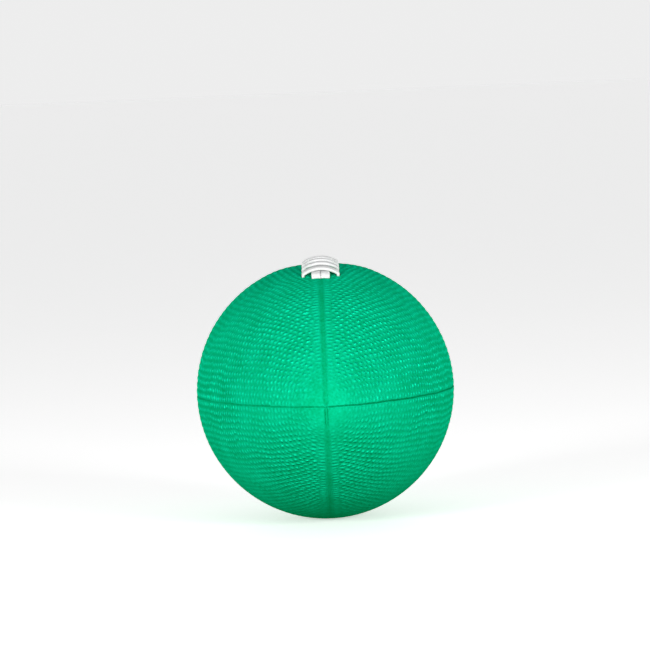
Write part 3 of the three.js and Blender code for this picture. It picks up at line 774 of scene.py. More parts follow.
# %% Heights and tones
UPRIGHT_SEAM_DEPTH = {"upper": 0.3, "lower": 0.2}
SIDE_SEAM_DEPTH = {"left": 0.24, "right": 0.42}
SIDE_FLOOR = 0.25  # part of the side seam's width that is floor
HOLE_DEPTH = 1.8  # of the wells in the rubber
# painted shade: smooth rubber at the noses and in the seams stays near the hollows' shaded colour, which
# keeps the brightly lit nose dim
SMOOTH_TONE = 0.04  # how light smooth rubber is, between a hollow and a crown
# painted shade: the rubber in the upright seams is darker than smooth rubber
CHANNEL_SHADE_TONE = {"upper": -0.16, "lower": -0.12}  # of the rubber in the upright seams
# painted shade: the side seams and the cuts darken with their depth
SEAM_PAINTED_SHADE = 0.8  # how much darker the other seams are for each millimetre of their depth


def panel_heights(tier, side_name, seed, grid):
    """Height and tone of the outer points: the pebbles, less the seams, plus the rungs and the lip, less the
    cuts and the holes. The tone is painted shade and highlight: dark in hollows, seams and cuts, light on
    crowns."""
    radius, along = outline(grid.lean)[1], walk(grid.lean)
    taper = seam_taper(radius)
    stray = side_wander(along) * taper * (1 if tier == "upper" else -1)
    off_upright, off_side = radius * grid.angle, radius * (QUARTER_TURN - grid.angle) + stray
    past_upright, past_side = off_upright - grid.upright_lip, off_side - grid.side_lip

    relief = pebbles(grid, seed)
    contrast = pebble_contrast(tier, grid.angle, radius, past_upright)
    relief = relief.mean() + (relief - relief.mean()) * contrast
    share = pebble_share(tier, radius, past_upright, past_side)
    hole = 0.0
    if (tier, side_name) == VALVE_PANEL:
        distance, _ = valve_polar(grid)
        share = share * blend(distance, VALVE_SMOOTH_RADIUS, (0.0, 1.0))
        hole = HOLE_DEPTH * (1 - ease((distance - VALVE_HOLE_RADIUS) / VALVE_RIM))
    height = (relief - 0.5) * share * PEBBLE_HEIGHT - hole
    # painted shade and highlight: the tone follows the relief, dark in the hollows and light on the crowns
    tone = SMOOTH_TONE + (relief - SMOOTH_TONE) * share

    channel = seam_drop(off_upright, grid.upright_lip, UPRIGHT_FLOOR) * girth_calm(tier, radius)
    groove = seam_drop(off_side, grid.side_lip, SIDE_FLOOR) * SIDE_SEAM_DEPTH[side_name]
    height = height - (channel * (UPRIGHT_SEAM_DEPTH[tier] - rungs(along)) + groove) * taper
    # painted shade: darker in the upright channels and in the side grooves, by their depth
    tone = tone + (CHANNEL_SHADE_TONE[tier] - SMOOTH_TONE) * channel - SEAM_PAINTED_SHADE * groove
    if tier == "upper":
        height = np.where(in_holes(off_upright, outline(grid.lean)[0]), -HOLE_DEPTH, height)
    else:
        cut = fine_cut(off_upright, radius)
        height = height + (raised_lip(past_side) - cut) * taper
        # painted shade: darker in the fine cuts, by their depth
        tone = tone - SEAM_PAINTED_SHADE * cut
    return height, tone


print(f"side seams {SIDE_SEAM_DEPTH['left']} and {SIDE_SEAM_DEPTH['right']} mm deep, holes {HOLE_DEPTH} mm")

# %% Four panels
COVER = 2.0
INNER_COLUMNS = 10
SEED_STEP = 10.0
TIERS, SIDES = ("upper", "lower"), ("left", "right")


def fit_to_frame(piece, node, finish):
    """Hang a finished piece on the ball's one body in place of its solid, with its material."""
    piece.data.materials.append(finish)
    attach(piece, "root")
    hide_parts(node)
    print(f"{piece.name}: {len(piece.data.polygons)} faces for {node}")


def around(tier, side_name, angle):
    """Angle round the ball from the lace, for an angle from a panel's upright seam."""
    from_lace = angle if tier == "upper" else np.pi - angle
    return from_lace if side_name == "right" else -from_lace


def panel(tier, side_name, seed):
    """Closed skin of one panel: each loop runs out along the face and back along the inside. What would
    reach below the floor is pressed flat."""
    grid = panel_grid(tier)
    if (tier, side_name) == VALVE_PANEL:
        draw_to_rim(grid)
    height, tone = panel_heights(tier, side_name, seed, grid)
    back = np.linspace(QUARTER_TURN, 0.0, INNER_COLUMNS)[None, :]
    face = on_ball(grid.lean, around(tier, side_name, grid.angle), height)
    inside = on_ball(grid.lean[:, :1], around(tier, side_name, back), -COVER)
    loops = np.concatenate([face, inside], axis=1)
    loops[..., 2] = np.maximum(loops[..., 2], 0.0)
    # the stored relief carries the tone, with its painted shade and painted highlight
    tone = np.concatenate([tone, np.zeros(inside.shape[:2])], axis=1)
    return skin(f"cover_{tier}_{side_name}", loops, marks={"relief": tone})


for number, (tier, side_name) in enumerate((t, s) for t in TIERS for s in SIDES):
    cover = panel(tier, side_name, SEED_STEP * number)
    fit_to_frame(cover, f"panel_{tier}_{side_name}", green_rubber)

# %% [markdown]
# White lace
#
# One flat strip of soft white vinyl does all the lacing. It runs forward along the left of the seam, dives
# under the panels, crosses over as bars from hole to hole on its way back, and runs forward once more along
# the right. A bevelled curve would twist in the turns. So the route is worked out flat from arcs and
# straight runs, with the direction of the strip's width at each stop, and is then bent over the ball and
# sunk with it.

# %% Lace levels
LINING = 0.8
FACING = 0.8
GAP = 0.3
FACET_ROOM = 1.27  # left by the solids' flat facets between the lining and what lies under it
LACE_CLEARANCE = 0.08  # between a bar and the strands that it crosses
LACE_TAIL = 10.0

FACING_BOTTOM = -COVER - GAP - LINING - FACET_ROOM - GAP - FACING
UNDER_LEVEL = FACING_BOTTOM - GAP - LACE_THICKNESS / 2
STRAND_LEVEL = GAP + LACE_THICKNESS / 2
TAIL_END = END_SLOT + BEND_RADIUS + LACE_TAIL
INSET = HOLE_OFFSET - BEND_RADIUS
DEEP = UNDER_LEVEL + BEND_RADIUS
SLOPES = np.linspace(0.3, 1.2, 2000)  # radians, tried for the arch of a bar


def over_seam(s, y, h):
    """Point over the top seam: s across it, y along the axis, h above the surface. Its lean is the arc sine
    of y over the side's radius, its angle is s over the ball's radius there."""
    lean = np.arcsin(y / SIDE_RADIUS)
    return on_ball(lean, s / outline(lean)[1], h)


def bar_arch(slope):
    """Radius, centre height and clear height of the arch that leaves its holes at a slope. Clear height is
    taken on the arch's under side over the outer edge of the strands."""
    start = HOLE_OFFSET - BEND_RADIUS + BEND_RADIUS * np.sin(slope)
    radius = start / np.sin(slope)
    centre = (BEND_RADIUS - radius) * np.cos(slope)
    return radius, centre, centre + np.sqrt((radius - LACE_THICKNESS / 2) ** 2 - (STRANDS_WIDTH / 2) ** 2)


clears = bar_arch(SLOPES)[2] >= STRAND_LEVEL + LACE_THICKNESS / 2 + LACE_CLEARANCE
ARCH_SLOPE = SLOPES[np.argmax(clears)]
ARCH_RADIUS, ARCH_CENTRE, _ = bar_arch(ARCH_SLOPE)
print(f"bars leave their holes at {math.degrees(ARCH_SLOPE):.1f} degrees, arch radius {ARCH_RADIUS:.1f} mm")

# %% Arcs and runs
BEND_POINTS = 9
ACROSS, ALONG, UP = np.eye(3)


def arc(centre, radius, start, end, level, rise, count, width=None):
    """Points on an arc, with the direction of the strip's width at each: the centre plus the radius times
    the cosine of one direction and the sine of another. A strip that turns flat is wide along the radius."""
    turn = np.radians(np.linspace(start, end, count))[:, None]
    out = level * np.cos(turn) + rise * np.sin(turn)
    return np.array(centre) + radius * out, out if width is None else np.broadcast_to(width, out.shape)


def bend(s, y, h, start, end, level, width):
    """Tight bend up or down, between two angles in degrees."""
    return arc((s, y, h), BEND_RADIUS, start, end, level, UP, BEND_POINTS, width)


def straight(s, ys, h):
    """Straight run along the seam at one level."""
    points = np.stack([np.full_like(ys, s), ys, np.full_like(ys, h)], axis=-1)
    return points, np.broadcast_to(ACROSS, points.shape)


print(f"bends of {BEND_RADIUS:.2f} mm up and down, flat turns of {TURN_RADIUS:.2f} mm")

# %% Bars and strands
ARCH_POINTS = 31
UNDER_POINTS = 15
STRAND_POINTS = 90


def bar(y):
    """Up through the left hole, over the strands in an arch, and down through the right hole."""
    slope = np.degrees(ARCH_SLOPE)
    arch = arc((0.0, y, ARCH_CENTRE), ARCH_RADIUS, 90 + slope, 90 - slope, ACROSS, UP, ARCH_POINTS, ALONG)
    return [
        bend(-INSET, y, DEEP, -90, -180, ACROSS, ALONG),
        bend(-INSET, y, 0, 180, 90 + slope, ACROSS, ALONG),
        [part[1:-1] for part in arch],
        bend(INSET, y, 0, 90 - slope, 0, ACROSS, ALONG),
        bend(INSET, y, DEEP, 0, -90, ACROSS, ALONG),
    ]


def under_run(y):
    """Back under the panels to the next bar's left hole, easing over by one pitch in half a cosine wave."""
    t = np.linspace(0, 1, UNDER_POINTS)[1:-1]
    along = y + BAR_PITCH * (1 - np.cos(np.pi * t)) / 2
    lean = BAR_PITCH * np.pi * np.sin(np.pi * t) / (4 * INSET)
    width = np.stack([lean, np.ones_like(t), 0 * t], axis=-1)
    points = np.stack([INSET * (1 - 2 * t), along, np.full_like(t, UNDER_LEVEL)], axis=-1)
    return points, width / np.linalg.norm(width, axis=1, keepdims=True)


def lead_in():
    """From the tucked tail at the back, up, forward along the left, down, and round to the first bar."""
    reach, shallow, s = END_SLOT - BEND_RADIUS, STRAND_LEVEL - BEND_RADIUS, -STRAND_OFFSET
    turn = arc((s - TURN_RADIUS, -reach, UNDER_LEVEL), TURN_RADIUS, 0, 90, ACROSS, ALONG, 2 * BEND_POINTS)
    return [
        straight(s, np.linspace(TAIL_END, END_SLOT + BEND_RADIUS, BEND_POINTS)[:-1], UNDER_LEVEL),
        bend(s, END_SLOT + BEND_RADIUS, DEEP, -90, -180, ALONG, ACROSS),
        bend(s, reach, shallow, 0, 90, ALONG, ACROSS),
        straight(s, np.linspace(reach, -reach, STRAND_POINTS)[1:-1], STRAND_LEVEL),
        bend(s, -reach, shallow, 90, 180, ALONG, ACROSS),
        bend(s, -reach, DEEP, 180, 270, ALONG, ACROSS),
        [part[1:-1] for part in turn],
    ]


print(f"a bar has {len(bar(0.0))} arcs, the way to the first one {len(lead_in())} arcs and runs")

# %% Whole route
way_in = [np.concatenate(parts) for parts in zip(*lead_in())]
way_out = [way_in[0][::-1] * [-1, -1, 1], way_in[1][::-1]]
crossings = []
for y in BARS:
    crossings += bar(y)
    if y < BARS[-1]:
        crossings.append(under_run(y))
stops, widths = [np.concatenate(parts) for parts in zip(way_in, *crossings, way_out)]
fresh = np.append(True, np.linalg.norm(np.diff(stops, axis=0), axis=1) > TINY)
stops, widths = stops[fresh], widths[fresh]
bent = over_seam(*stops.T)
print(f"lace: {len(stops)} stops, {np.linalg.norm(np.diff(bent, axis=0), axis=1).sum():.0f} mm long")

# %% [markdown]
# Lace strip and vinyl
#
# The strip's section is a flat box with round corners and slightly full faces. It is carried along the
# route: at each stop one side of the box lies along the width, the other along the normal to the route and
# the width. The vinyl is soft and lets light a little way in, which fills the shadows between the bars.
# Emission would brighten them too, but would look flat.

# %% Lace strip
LACE_SPREAD = 0.28  # the soft strip is wider than its solid by this
LACE_CORNER = 0.5
LACE_CROWN = 0.1
CORNER_POINTS = 5
FACE_POINTS = 7


def strip_section():
    """Box with quarter circles for corners and faces that bulge in a parabola, as width and height."""
    half = np.array([LACE_WIDTH + LACE_SPREAD, LACE_THICKNESS]) / 2 - LACE_CORNER
    quarter = np.linspace(0, QUARTER_TURN, CORNER_POINTS)
    corner = half + LACE_CORNER * np.stack([np.cos(quarter), np.sin(quarter)], axis=-1)
    across = np.linspace(half[0], -half[0], FACE_POINTS)[1:-1]
    face = np.stack([across, np.full_like(across, LACE_THICKNESS / 2)], axis=-1)
    top = np.concatenate([corner, face, corner[::-1] * [-1, 1]])
    section = np.concatenate([top, -top])
    section[:, 1] -= np.sign(section[:, 1]) * LACE_CROWN * (section[:, 0] / (LACE_WIDTH / 2)) ** 2
    return section


def lace_strip():
    """Skin of the strip: the section at each stop, laid out flat and then bent over the ball."""
    section = strip_section()
    face = np.cross(np.gradient(stops, axis=0), widths)
    face /= np.linalg.norm(face, axis=1, keepdims=True)
    flat = stops[:, None] + widths[:, None] * section[:, :1] + face[:, None] * section[:, 1:]
    edge = np.broadcast_to(np.abs(section[:, 0]) / (LACE_WIDTH / 2), flat.shape[:2])
    return skin("white_lace", over_seam(*np.moveaxis(flat, -1, 0)), marks={"edge": edge})


lace = lace_strip()
print(f"{lace.name}: {len(strip_section())} points round the strip")

# %% Lace vinyl
WHITE_VINYL = (0.73, 0.735, 0.735)
GREY_VINYL = (0.6, 0.605, 0.605)
VINYL_CLOUDS = 220.0  # in a metre
CLOUD_SHARE = 0.5  # of the way from white to grey
GREY_EDGE = (0.75, 1.0)  # place over which it turns grey: 0 is the middle of the strip, 1 its edge
EDGE_SHARE = 0.35
VINYL_GRAIN = 3000.0  # in a metre
VINYL_BUMP = 0.00003  # metres
LIGHT_DEPTH = 0.003  # metres that light goes in


def lace_vinyl():
    """White vinyl with faint clouds and a little grey along its edges."""
    material, sheet = new_finish("white_vinyl")
    place = object_place(sheet)
    cloud = noise(sheet, place, VINYL_CLOUDS)
    grain = noise(sheet, place, VINYL_GRAIN)
    tone = cloud * CLOUD_SHARE + stored(sheet, "edge").between(*GREY_EDGE) * EDGE_SHARE
    return coat(
        material,
        sheet,
        Base_Color=tone.tint(WHITE_VINYL, GREY_VINYL),
        Roughness=0.38 + cloud * 0.14,
        Specular_IOR_Level=0.3,
        Subsurface_Weight=0.7,
        Subsurface_Radius=(1.0, 1.0, 1.0),
        Subsurface_Scale=LIGHT_DEPTH,
        Normal=grain.bump(VINYL_BUMP),
    )


fit_to_frame(lace, "lace", lace_vinyl())

# %% [markdown]
# Linings
#
# Behind each rubber panel is a cloth lining that keeps it from stretching. It is a thin shell between two
# layers of the same ball. For the lace it needs real holes, which a grid gives at once: the cells that lie
# in a hole are left out. Its weave is too fine to model, so two crossing waves in the finish stand for the
# threads.

# %% Cotton
LIGHT_COTTON = (0.66, 0.61, 0.50)
DARK_COTTON = (0.40, 0.36, 0.28)
THREAD = 0.0011  # metres for two threads
THREAD_SHARE, DYE_SHARE = 0.6, 0.4  # of the way from dark to light
DYE_CLOUDS = 300.0  # in a metre
WEAVE_BUMP = 0.00015  # metres


def axes(sheet, place):
    """The three numbers of a place or a direction, as wires."""
    split = sheet.node("ShaderNodeSeparateXYZ", {}, {0: place}).socket.node
    return [Wire(sheet.tree, output) for output in split.outputs]


def cotton_finish():
    """Cloth: one sine wave across times one along, so that the thread on top changes like a chess board."""
    material, sheet = new_finish("cotton_lining")
    place = object_place(sheet)
    warp, weft = [sheet.math("SINE", way * (2 * math.pi / THREAD)) for way in axes(sheet, place)[:2]]
    lift = warp * weft * 0.5 + 0.5
    cloud = noise(sheet, place, DYE_CLOUDS)
    return coat(
        material,
        sheet,
        Base_Color=(lift * THREAD_SHARE + cloud * DYE_SHARE).tint(DARK_COTTON, LIGHT_COTTON),
        Roughness=0.8 + cloud * 0.15,
        Normal=lift.bump(WEAVE_BUMP),
    )


cotton = cotton_finish()

# %% Lining shells
LINING_ROWS = 120
LINING_COLUMNS = [3, 2, 1, 40]  # up to each edge of the holes, and on to the side seam
LINING_TOP = -COVER - GAP


def kept_cells(s, y):
    """True for the cells whose middle lies outside every lace hole."""
    middle_s, middle_y = [(grid[:-1, :-1] + grid[1:, 1:]) / 2 for grid in (s, y)]
    return ~in_holes(middle_s, middle_y)


def lining(tier, side_name):
    """Shell under one panel, half a gap away from the linings beside it: rows of leans, columns of distances
    from the upright seam, at two heights."""
    lean = row_leans(LINING_ROWS, hole_breaks() if tier == "upper" else ())
    axial, radius = outline(lean)
    edge = np.minimum(GAP / 2, radius / 4)
    shrink = np.minimum(1.0, radius / HOLE_TAPER_RADIUS)
    knots = [edge, *[line * shrink for line in hole_edges], radius * QUARTER_TURN - edge]
    off = columns(knots, LINING_COLUMNS)
    keep = kept_cells(off, np.broadcast_to(axial, off.shape)) if tier == "upper" else None
    angle = around(tier, side_name, off / radius)
    layers = [on_ball(lean, angle, h) for h in (LINING_TOP, LINING_TOP - LINING)]
    return shell(f"lining_cloth_{tier}_{side_name}", *layers, keep)


print(f"linings {LINING} mm thick, {-LINING_TOP} mm under the surface")

# %% [markdown]
# Facings and tongue
#
# A felt strip under each row of lace holes stops them from tearing out, and a felt tongue keeps the lace
# off the bladder. Both are flaps with round corners. A cloth simulation could drape them, but the wall and
# the lace hold them in place, so they are shells too, laid over the top seam. Their rows lie closer
# together at the ends, where the corners turn.

# %% Felt
DARK_FELT = (0.16, 0.17, 0.165)
LIGHT_FELT = (0.36, 0.37, 0.36)
FIBRE_SHARE, FELT_SHARE = 0.6, 0.4  # of the way from dark to light, for the fibres and the clouds
FELT_FIBRES = 1800.0  # in a metre
FIBRE_DETAIL = 6.0
FELT_CLOUDS = 160.0  # in a metre
FIBRE_BUMP = 0.0002  # metres


def felt_finish():
    """Grey felt: fine fibres on slow clouds."""
    material, sheet = new_finish("grey_felt")
    place = object_place(sheet)
    fibre = noise(sheet, place, FELT_FIBRES, FIBRE_DETAIL)
    cloud = noise(sheet, place, FELT_CLOUDS)
    return coat(
        material,
        sheet,
        Base_Color=(fibre * FIBRE_SHARE + cloud * FELT_SHARE).tint(DARK_FELT, LIGHT_FELT),
        Roughness=0.85 + fibre * 0.12,
        Normal=fibre.bump(FIBRE_BUMP),
    )


felt = felt_finish()

# %% Felt flaps
TONGUE = 0.8
FACING_MARGIN = 5.0
TONGUE_MARGIN = 1.0
FLAP_CORNER = 6.0
FLAP_ROWS = 90
FACING_COLUMNS = [4, 3, 1, 6]  # up to each edge of the holes, and on to the border
TONGUE_COLUMNS = 33
FACING_TOP = FACING_BOTTOM + FACING
TONGUE_TOP = UNDER_LEVEL - LACE_THICKNESS / 2 - GAP
FACING_WIDTH = HOLE_OFFSET + hole_half[0] + FACING_MARGIN
TONGUE_HALF_WIDTH = FACING_WIDTH + TONGUE_MARGIN
TONGUE_HALF_LENGTH = TAIL_END + TONGUE_MARGIN


def flap_reach(y, half_length, reach):
    """Half width of a flap whose corners are cut back by quarter circles."""
    past = np.maximum(0.0, np.abs(y) - (half_length - FLAP_CORNER))
    return reach - FLAP_CORNER + np.sqrt(np.maximum(0.0, FLAP_CORNER**2 - past**2))


def flap_rows(half_length, breaks=()):
    """Places along the flap by a sine, so closer at its ends, and at the breaks. Rounding merges doubles."""
    even = half_length * np.sin(np.linspace(-QUARTER_TURN, QUARTER_TURN, FLAP_ROWS))
    return np.unique(np.concatenate([even, breaks]).round(4))[:, None]


def facing_strip(side_name):
    """Strip from the top seam to beyond the holes, on one side."""
    side = 1 if side_name == "right" else -1
    y = flap_rows(SINK_LENGTH, hole_breaks())
    share = flap_reach(y, SINK_LENGTH, FACING_WIDTH) / FACING_WIDTH
    s = columns([line * share for line in (GAP / 2, *hole_edges, FACING_WIDTH)], FACING_COLUMNS)
    y = np.broadcast_to(y, s.shape)
    layers = [over_seam(side * s, y, h) for h in (FACING_TOP, FACING_BOTTOM)]
    return shell(f"felt_facing_{side_name}", *layers, kept_cells(s, y))


def tongue_flap():
    """Flap across the top seam, wider and longer than all of the lace below the panels."""
    y = flap_rows(TONGUE_HALF_LENGTH)
    s = flap_reach(y, TONGUE_HALF_LENGTH, TONGUE_HALF_WIDTH) * np.linspace(-1, 1, TONGUE_COLUMNS)
    y = np.broadcast_to(y, s.shape)
    return shell("felt_tongue", *[over_seam(s, y, h) for h in (TONGUE_TOP, TONGUE_TOP - TONGUE)])


print(f"facings {FACING_WIDTH:.1f} mm wide, tongue {2 * TONGUE_HALF_WIDTH:.1f} mm")

# %% Cloth and felt in place
for side_name in SIDES:
    for tier in TIERS:
        fit_to_frame(lining(tier, side_name), f"lining_{tier}_{side_name}", cotton)
    fit_to_frame(facing_strip(side_name), f"lace_facing_{side_name}", felt)
fit_to_frame(tongue_flap(), "tongue", felt)

# %% [markdown]
# Bladder
#
# The bladder is a bag of black butyl rubber that fills the ball and gives way under the tongue. A scaled
# copy of the ball would cut into the tongue, so its rings are worked out from the wall's own layers, with a
# dent. Its finish shows the dull bloom that such rubber gets.

# %% Bladder
BLADDER_TOP = LINING_TOP - LINING - FACET_ROOM - GAP
DENT_LEVEL = TONGUE_TOP - TONGUE - GAP
DENT_MARGIN = 2.0
DENT_FADE = 7.0
BLADDER_ROWS = 140
BLADDER_COLUMNS = 128


def bladder_bag():
    """Rings at the bladder's level, lowered to the dent's level under the tongue by a smooth step."""
    lean = np.linspace(-QUARTER_TURN, QUARTER_TURN, BLADDER_ROWS + 2)[1:-1, None]
    angle = np.linspace(-np.pi, np.pi, BLADDER_COLUMNS, endpoint=False)[None, :]
    axial, radial = outline(lean)
    past_end = np.abs(axial) - TONGUE_HALF_LENGTH - DENT_MARGIN
    past_side = np.abs(angle) * radial - TONGUE_HALF_WIDTH - DENT_MARGIN
    dent = (1 - ease(past_end / DENT_FADE)) * (1 - ease(past_side / DENT_FADE))
    return skin("butyl_bladder", on_ball(lean, angle, BLADDER_TOP + (DENT_LEVEL - BLADDER_TOP) * dent))


bladder = bladder_bag()
print(f"bladder {-BLADDER_TOP:.2f} mm under the surface, {-DENT_LEVEL:.2f} mm in its dent")

# %% Butyl
BLACK_BUTYL = (0.010, 0.010, 0.011)
BLOOM_GREY = (0.035, 0.036, 0.038)
BLOOM_PATCHES = 45.0  # in a metre
BLOOM_DETAIL = 4.0
BLOOM_EDGE = (0.4, 0.75)  # noise at which the bloom starts and is full
BUTYL_GRAIN = 2200.0  # in a metre
BUTYL_BUMP = 0.00005  # metres


def butyl_finish():
    """Black rubber with patches of dull bloom and a fine grain."""
    material, sheet = new_finish("black_butyl")
    place = object_place(sheet)
    bloom = noise(sheet, place, BLOOM_PATCHES, BLOOM_DETAIL)
    grain = noise(sheet, place, BUTYL_GRAIN)
    return coat(
        material,
        sheet,
        Base_Color=bloom.between(*BLOOM_EDGE).tint(BLACK_BUTYL, BLOOM_GREY),
        Roughness=0.5 + bloom * 0.25,
        Specular_IOR_Level=0.4,
        Normal=grain.bump(BUTYL_BUMP),
    )


butyl = butyl_finish()
fit_to_frame(bladder, "bladder", butyl)

# %% [markdown]
# Valve
#
# The valve is a black rubber stem with a flange inside the bladder, and a soft plug in it that the needle
# goes through. Both are turned shapes, as from a lathe: a profile of radius and height, rounded at its
# corners, swung round the axis. A screw modifier could do the same. Here the circles are one more array for
# a skin.

# %% Turned shapes
VALVE_ANGLE = math.radians(135)  # round the ball from the lace
TURN_POINTS = 64
ROUNDING = 0.25
ROUND_POINTS = 5
LARGEST_ROUNDING = 0.45  # as part of a straight run, so that two corners never meet
valve_axis = np.array([math.sin(VALVE_ANGLE), 0.0, math.cos(VALVE_ANGLE)])
valve_level = np.cross(valve_axis, ALONG)


def rounded(profile, ring):
    """Profile with each corner swapped for a parabola between points at the rounding's distance from it. The
    two ends of an open profile stay as they are."""
    here = np.array(profile, float)
    before, after = np.roll(here, 1, axis=0), np.roll(here, -1, axis=0)
    t = np.linspace(0, 1, ROUND_POINTS)[:, None, None]

    def toward(other):
        """Points at the rounding's distance from the corners, on the way to the other corners."""
        gap = np.linalg.norm(other - here, axis=1, keepdims=True)
        return here + (other - here) * np.minimum(LARGEST_ROUNDING, ROUNDING / np.maximum(gap, TINY))

    curve = toward(before) * (1 - t) ** 2 + here * 2 * t * (1 - t) + toward(after) * t**2
    points = np.moveaxis(curve, 0, 1)
    if ring:
        return points.reshape(-1, 2)
    return np.concatenate([here[:1], points[1:-1].reshape(-1, 2), here[-1:]])


def swing(profile):
    """Circles about the valve's axis, one for each point of radius and height above the ball: cosine along
    the ball plus sine across it."""
    turn = np.linspace(0, 2 * np.pi, TURN_POINTS, endpoint=False)
    spokes = np.cos(turn)[:, None] * ALONG + np.sin(turn)[:, None] * valve_level
    radius, height = profile[:, 0, None, None], profile[:, 1, None, None]
    centre = np.array([0.0, 0.0, CENTRE_HEIGHT])
    return centre + valve_axis * (GIRTH_RADIUS + height) + radius * spokes


print(f"{TURN_POINTS} points round the valve's axis, corners rounded by {ROUNDING} mm")

# %% Valve profiles
STEM_RADIUS = 4.0
BARREL_RADIUS = 5.2
VALVE_LENGTH = 22.0
VALVE_RECESS = 0.4
FLANGE_RADIUS = 11.0
FLANGE = 1.0
BLADDER_WALL = 0.9
PLUG_RADIUS = 2.5
PLUG_LENGTH = 19.0
PLUG_RECESS = 0.3
COLLAR_RADIUS = 3.2
COLLAR_DEPTH = 10.0
COLLAR_HEIGHT = 3.0
NEEDLE_RADIUS = 0.6
NEEDLE_DEPTH = 12.0
NEEDLE_MOUTH = 1.4

plug_top = -VALVE_RECESS - PLUG_RECESS
flange_top = BLADDER_TOP - BLADDER_WALL - GAP
flange_edge = flange_top - FLANGE_RADIUS**2 / (2 * GIRTH_RADIUS)  # the flange follows the ball's round


def collar(grow):
    """The ring round the plug that holds it in the stem, or its seat in the stem, larger by a gap."""
    middle, step, reach = plug_top - COLLAR_DEPTH, COLLAR_RADIUS - PLUG_RADIUS, COLLAR_HEIGHT / 2 + grow
    return [
        (PLUG_RADIUS + grow, middle - reach),
        (COLLAR_RADIUS + grow, middle - reach + step),
        (COLLAR_RADIUS + grow, middle + reach - step),
        (PLUG_RADIUS + grow, middle + reach),
    ]


stem_profile = [
    (PLUG_RADIUS + GAP, -VALVE_LENGTH),
    *collar(GAP),
    (PLUG_RADIUS + GAP, -VALVE_RECESS),
    (STEM_RADIUS, -VALVE_RECESS),
    (STEM_RADIUS, flange_top),
    (FLANGE_RADIUS, flange_edge),
    (FLANGE_RADIUS, flange_edge - FLANGE),
    (BARREL_RADIUS, flange_top - FLANGE - FACET_ROOM),
    (BARREL_RADIUS, -VALVE_LENGTH),
]
plug_profile = [
    (PLUG_RADIUS / 2, plug_top - PLUG_LENGTH),
    (PLUG_RADIUS, plug_top - PLUG_LENGTH),
    *collar(0.0),
    (PLUG_RADIUS, plug_top),
    (NEEDLE_MOUTH, plug_top),
    (NEEDLE_RADIUS, plug_top - NEEDLE_MOUTH),
    (NEEDLE_RADIUS, plug_top - NEEDLE_DEPTH),
    (NEEDLE_RADIUS / 2, plug_top - NEEDLE_DEPTH),
]
print(f"stem of {len(stem_profile)} corners, plug of {len(plug_profile)}, flange {-flange_top:.1f} mm deep")

# %% Stem and plug
DARK_STOPPER = (0.018, 0.019, 0.020)
LIGHT_STOPPER = (0.04, 0.042, 0.045)
SPECKS = 1500.0  # in a metre
SPECK_DETAIL = 4.0
SPECK_BUMP = 0.00004  # metres


def plug_finish():
    """Dark stopper rubber with fine specks."""
    material, sheet = new_finish("dark_stopper_rubber")
    speck = noise(sheet, object_place(sheet), SPECKS, SPECK_DETAIL)
    return coat(
        material,
        sheet,
        Base_Color=speck.tint(DARK_STOPPER, LIGHT_STOPPER),
        Roughness=0.55 + speck * 0.2,
        Normal=speck.bump(SPECK_BUMP),
    )


stem = skin("valve_stem", swing(rounded(stem_profile, ring=True)), ring=True)
fit_to_frame(stem, "valve_body", butyl)
plug = skin("valve_plug", swing(rounded(plug_profile, ring=False)))
fit_to_frame(plug, "valve_core", plug_finish())

# %% [markdown]
# Floor and sky
#
# The ball lies on a wide pale floor. In the photograph its lower half is dim, and a bright floor would
# light it up. So the floor is left out of what the ball itself sees, a dim warm glow below the horizon
# stands in for it, and the floor glows a little, so that it is as pale as the horizon behind it. The sky is
# dimmer on the camera's side and brighter behind the ball. A picture of a studio could light the ball too,
# but the script would need that file.

# %% Floor
FLOOR_REACH = 60.0  # metres from the ball to the floor's edges
FLOOR_GLOW = 0.48
floor_mesh = bpy.data.meshes.new("studio_floor")
corners = np.array([(-1, -1, 0), (1, -1, 0), (1, 1, 0), (-1, 1, 0)]) * FLOOR_REACH
floor_mesh.from_pydata(corners, [], [(0, 1, 2, 3)])
floor = bpy.data.objects.new("studio_floor", floor_mesh)
bpy.context.scene.collection.objects.link(floor)
paper, sheet = new_finish("white_paper_floor")
coat(paper, sheet, Base_Color=(0.95, 0.95, 0.95, 1.0), Roughness=0.9, Emission_Strength=FLOOR_GLOW)
floor_mesh.materials.append(paper)
floor.visible_diffuse = False
floor.visible_glossy = False

# %% Sky
HORIZON_GLOW = 0.85
SKY_FRONT, SKY_BACK = 0.17, 0.63  # on the camera's side of the ball and behind it
SKY_COLOUR = (1.0, 1.0, 1.0)
GROUND_GLOW = 0.27
GROUND_COLOUR = (1.0, 1.0, 0.55)
BACKWARD = (0.0, 0.9)  # how far a direction points away from the camera, over which the sky gets brighter
SKYLINE = (0.05, 0.3)  # how far it points up, over which the horizon passes into the sky
GROUND_LINE = (-0.12, -0.02)  # and the ground into the horizon

world = bpy.data.worlds.new("studio_sky")
world.use_nodes = True
sky = Wire(world.node_tree)
_, behind, height = axes(sky, sky.node("ShaderNodeTexCoord", output="Generated"))
dome = behind.between(*BACKWARD) * (SKY_BACK - SKY_FRONT) + SKY_FRONT
above = height.between(*SKYLINE) * (dome - HORIZON_GLOW) + HORIZON_GLOW
skyward = height.between(*GROUND_LINE)
glow = skyward * (above - GROUND_GLOW) + GROUND_GLOW
backdrop = world.node_tree.nodes["Background"]
world.node_tree.links.new(skyward.tint(GROUND_COLOUR, SKY_COLOUR).socket, backdrop.inputs["Color"])
world.node_tree.links.new(glow.socket, backdrop.inputs["Strength"])
bpy.context.scene.world = world
bpy.context.scene.view_settings.view_transform = "Standard"
print("sky:", len(world.node_tree.nodes), "nodes")

# %% [markdown]
# Lamps
#
# Two soft lamps stand left and right of the camera, a little above it, and give the ball its round. One
# lamp would leave a side dark that is light in the photograph. A far soft window lights the back for other
# views. It makes no gleam, because the lace would show it as a hard white edge.

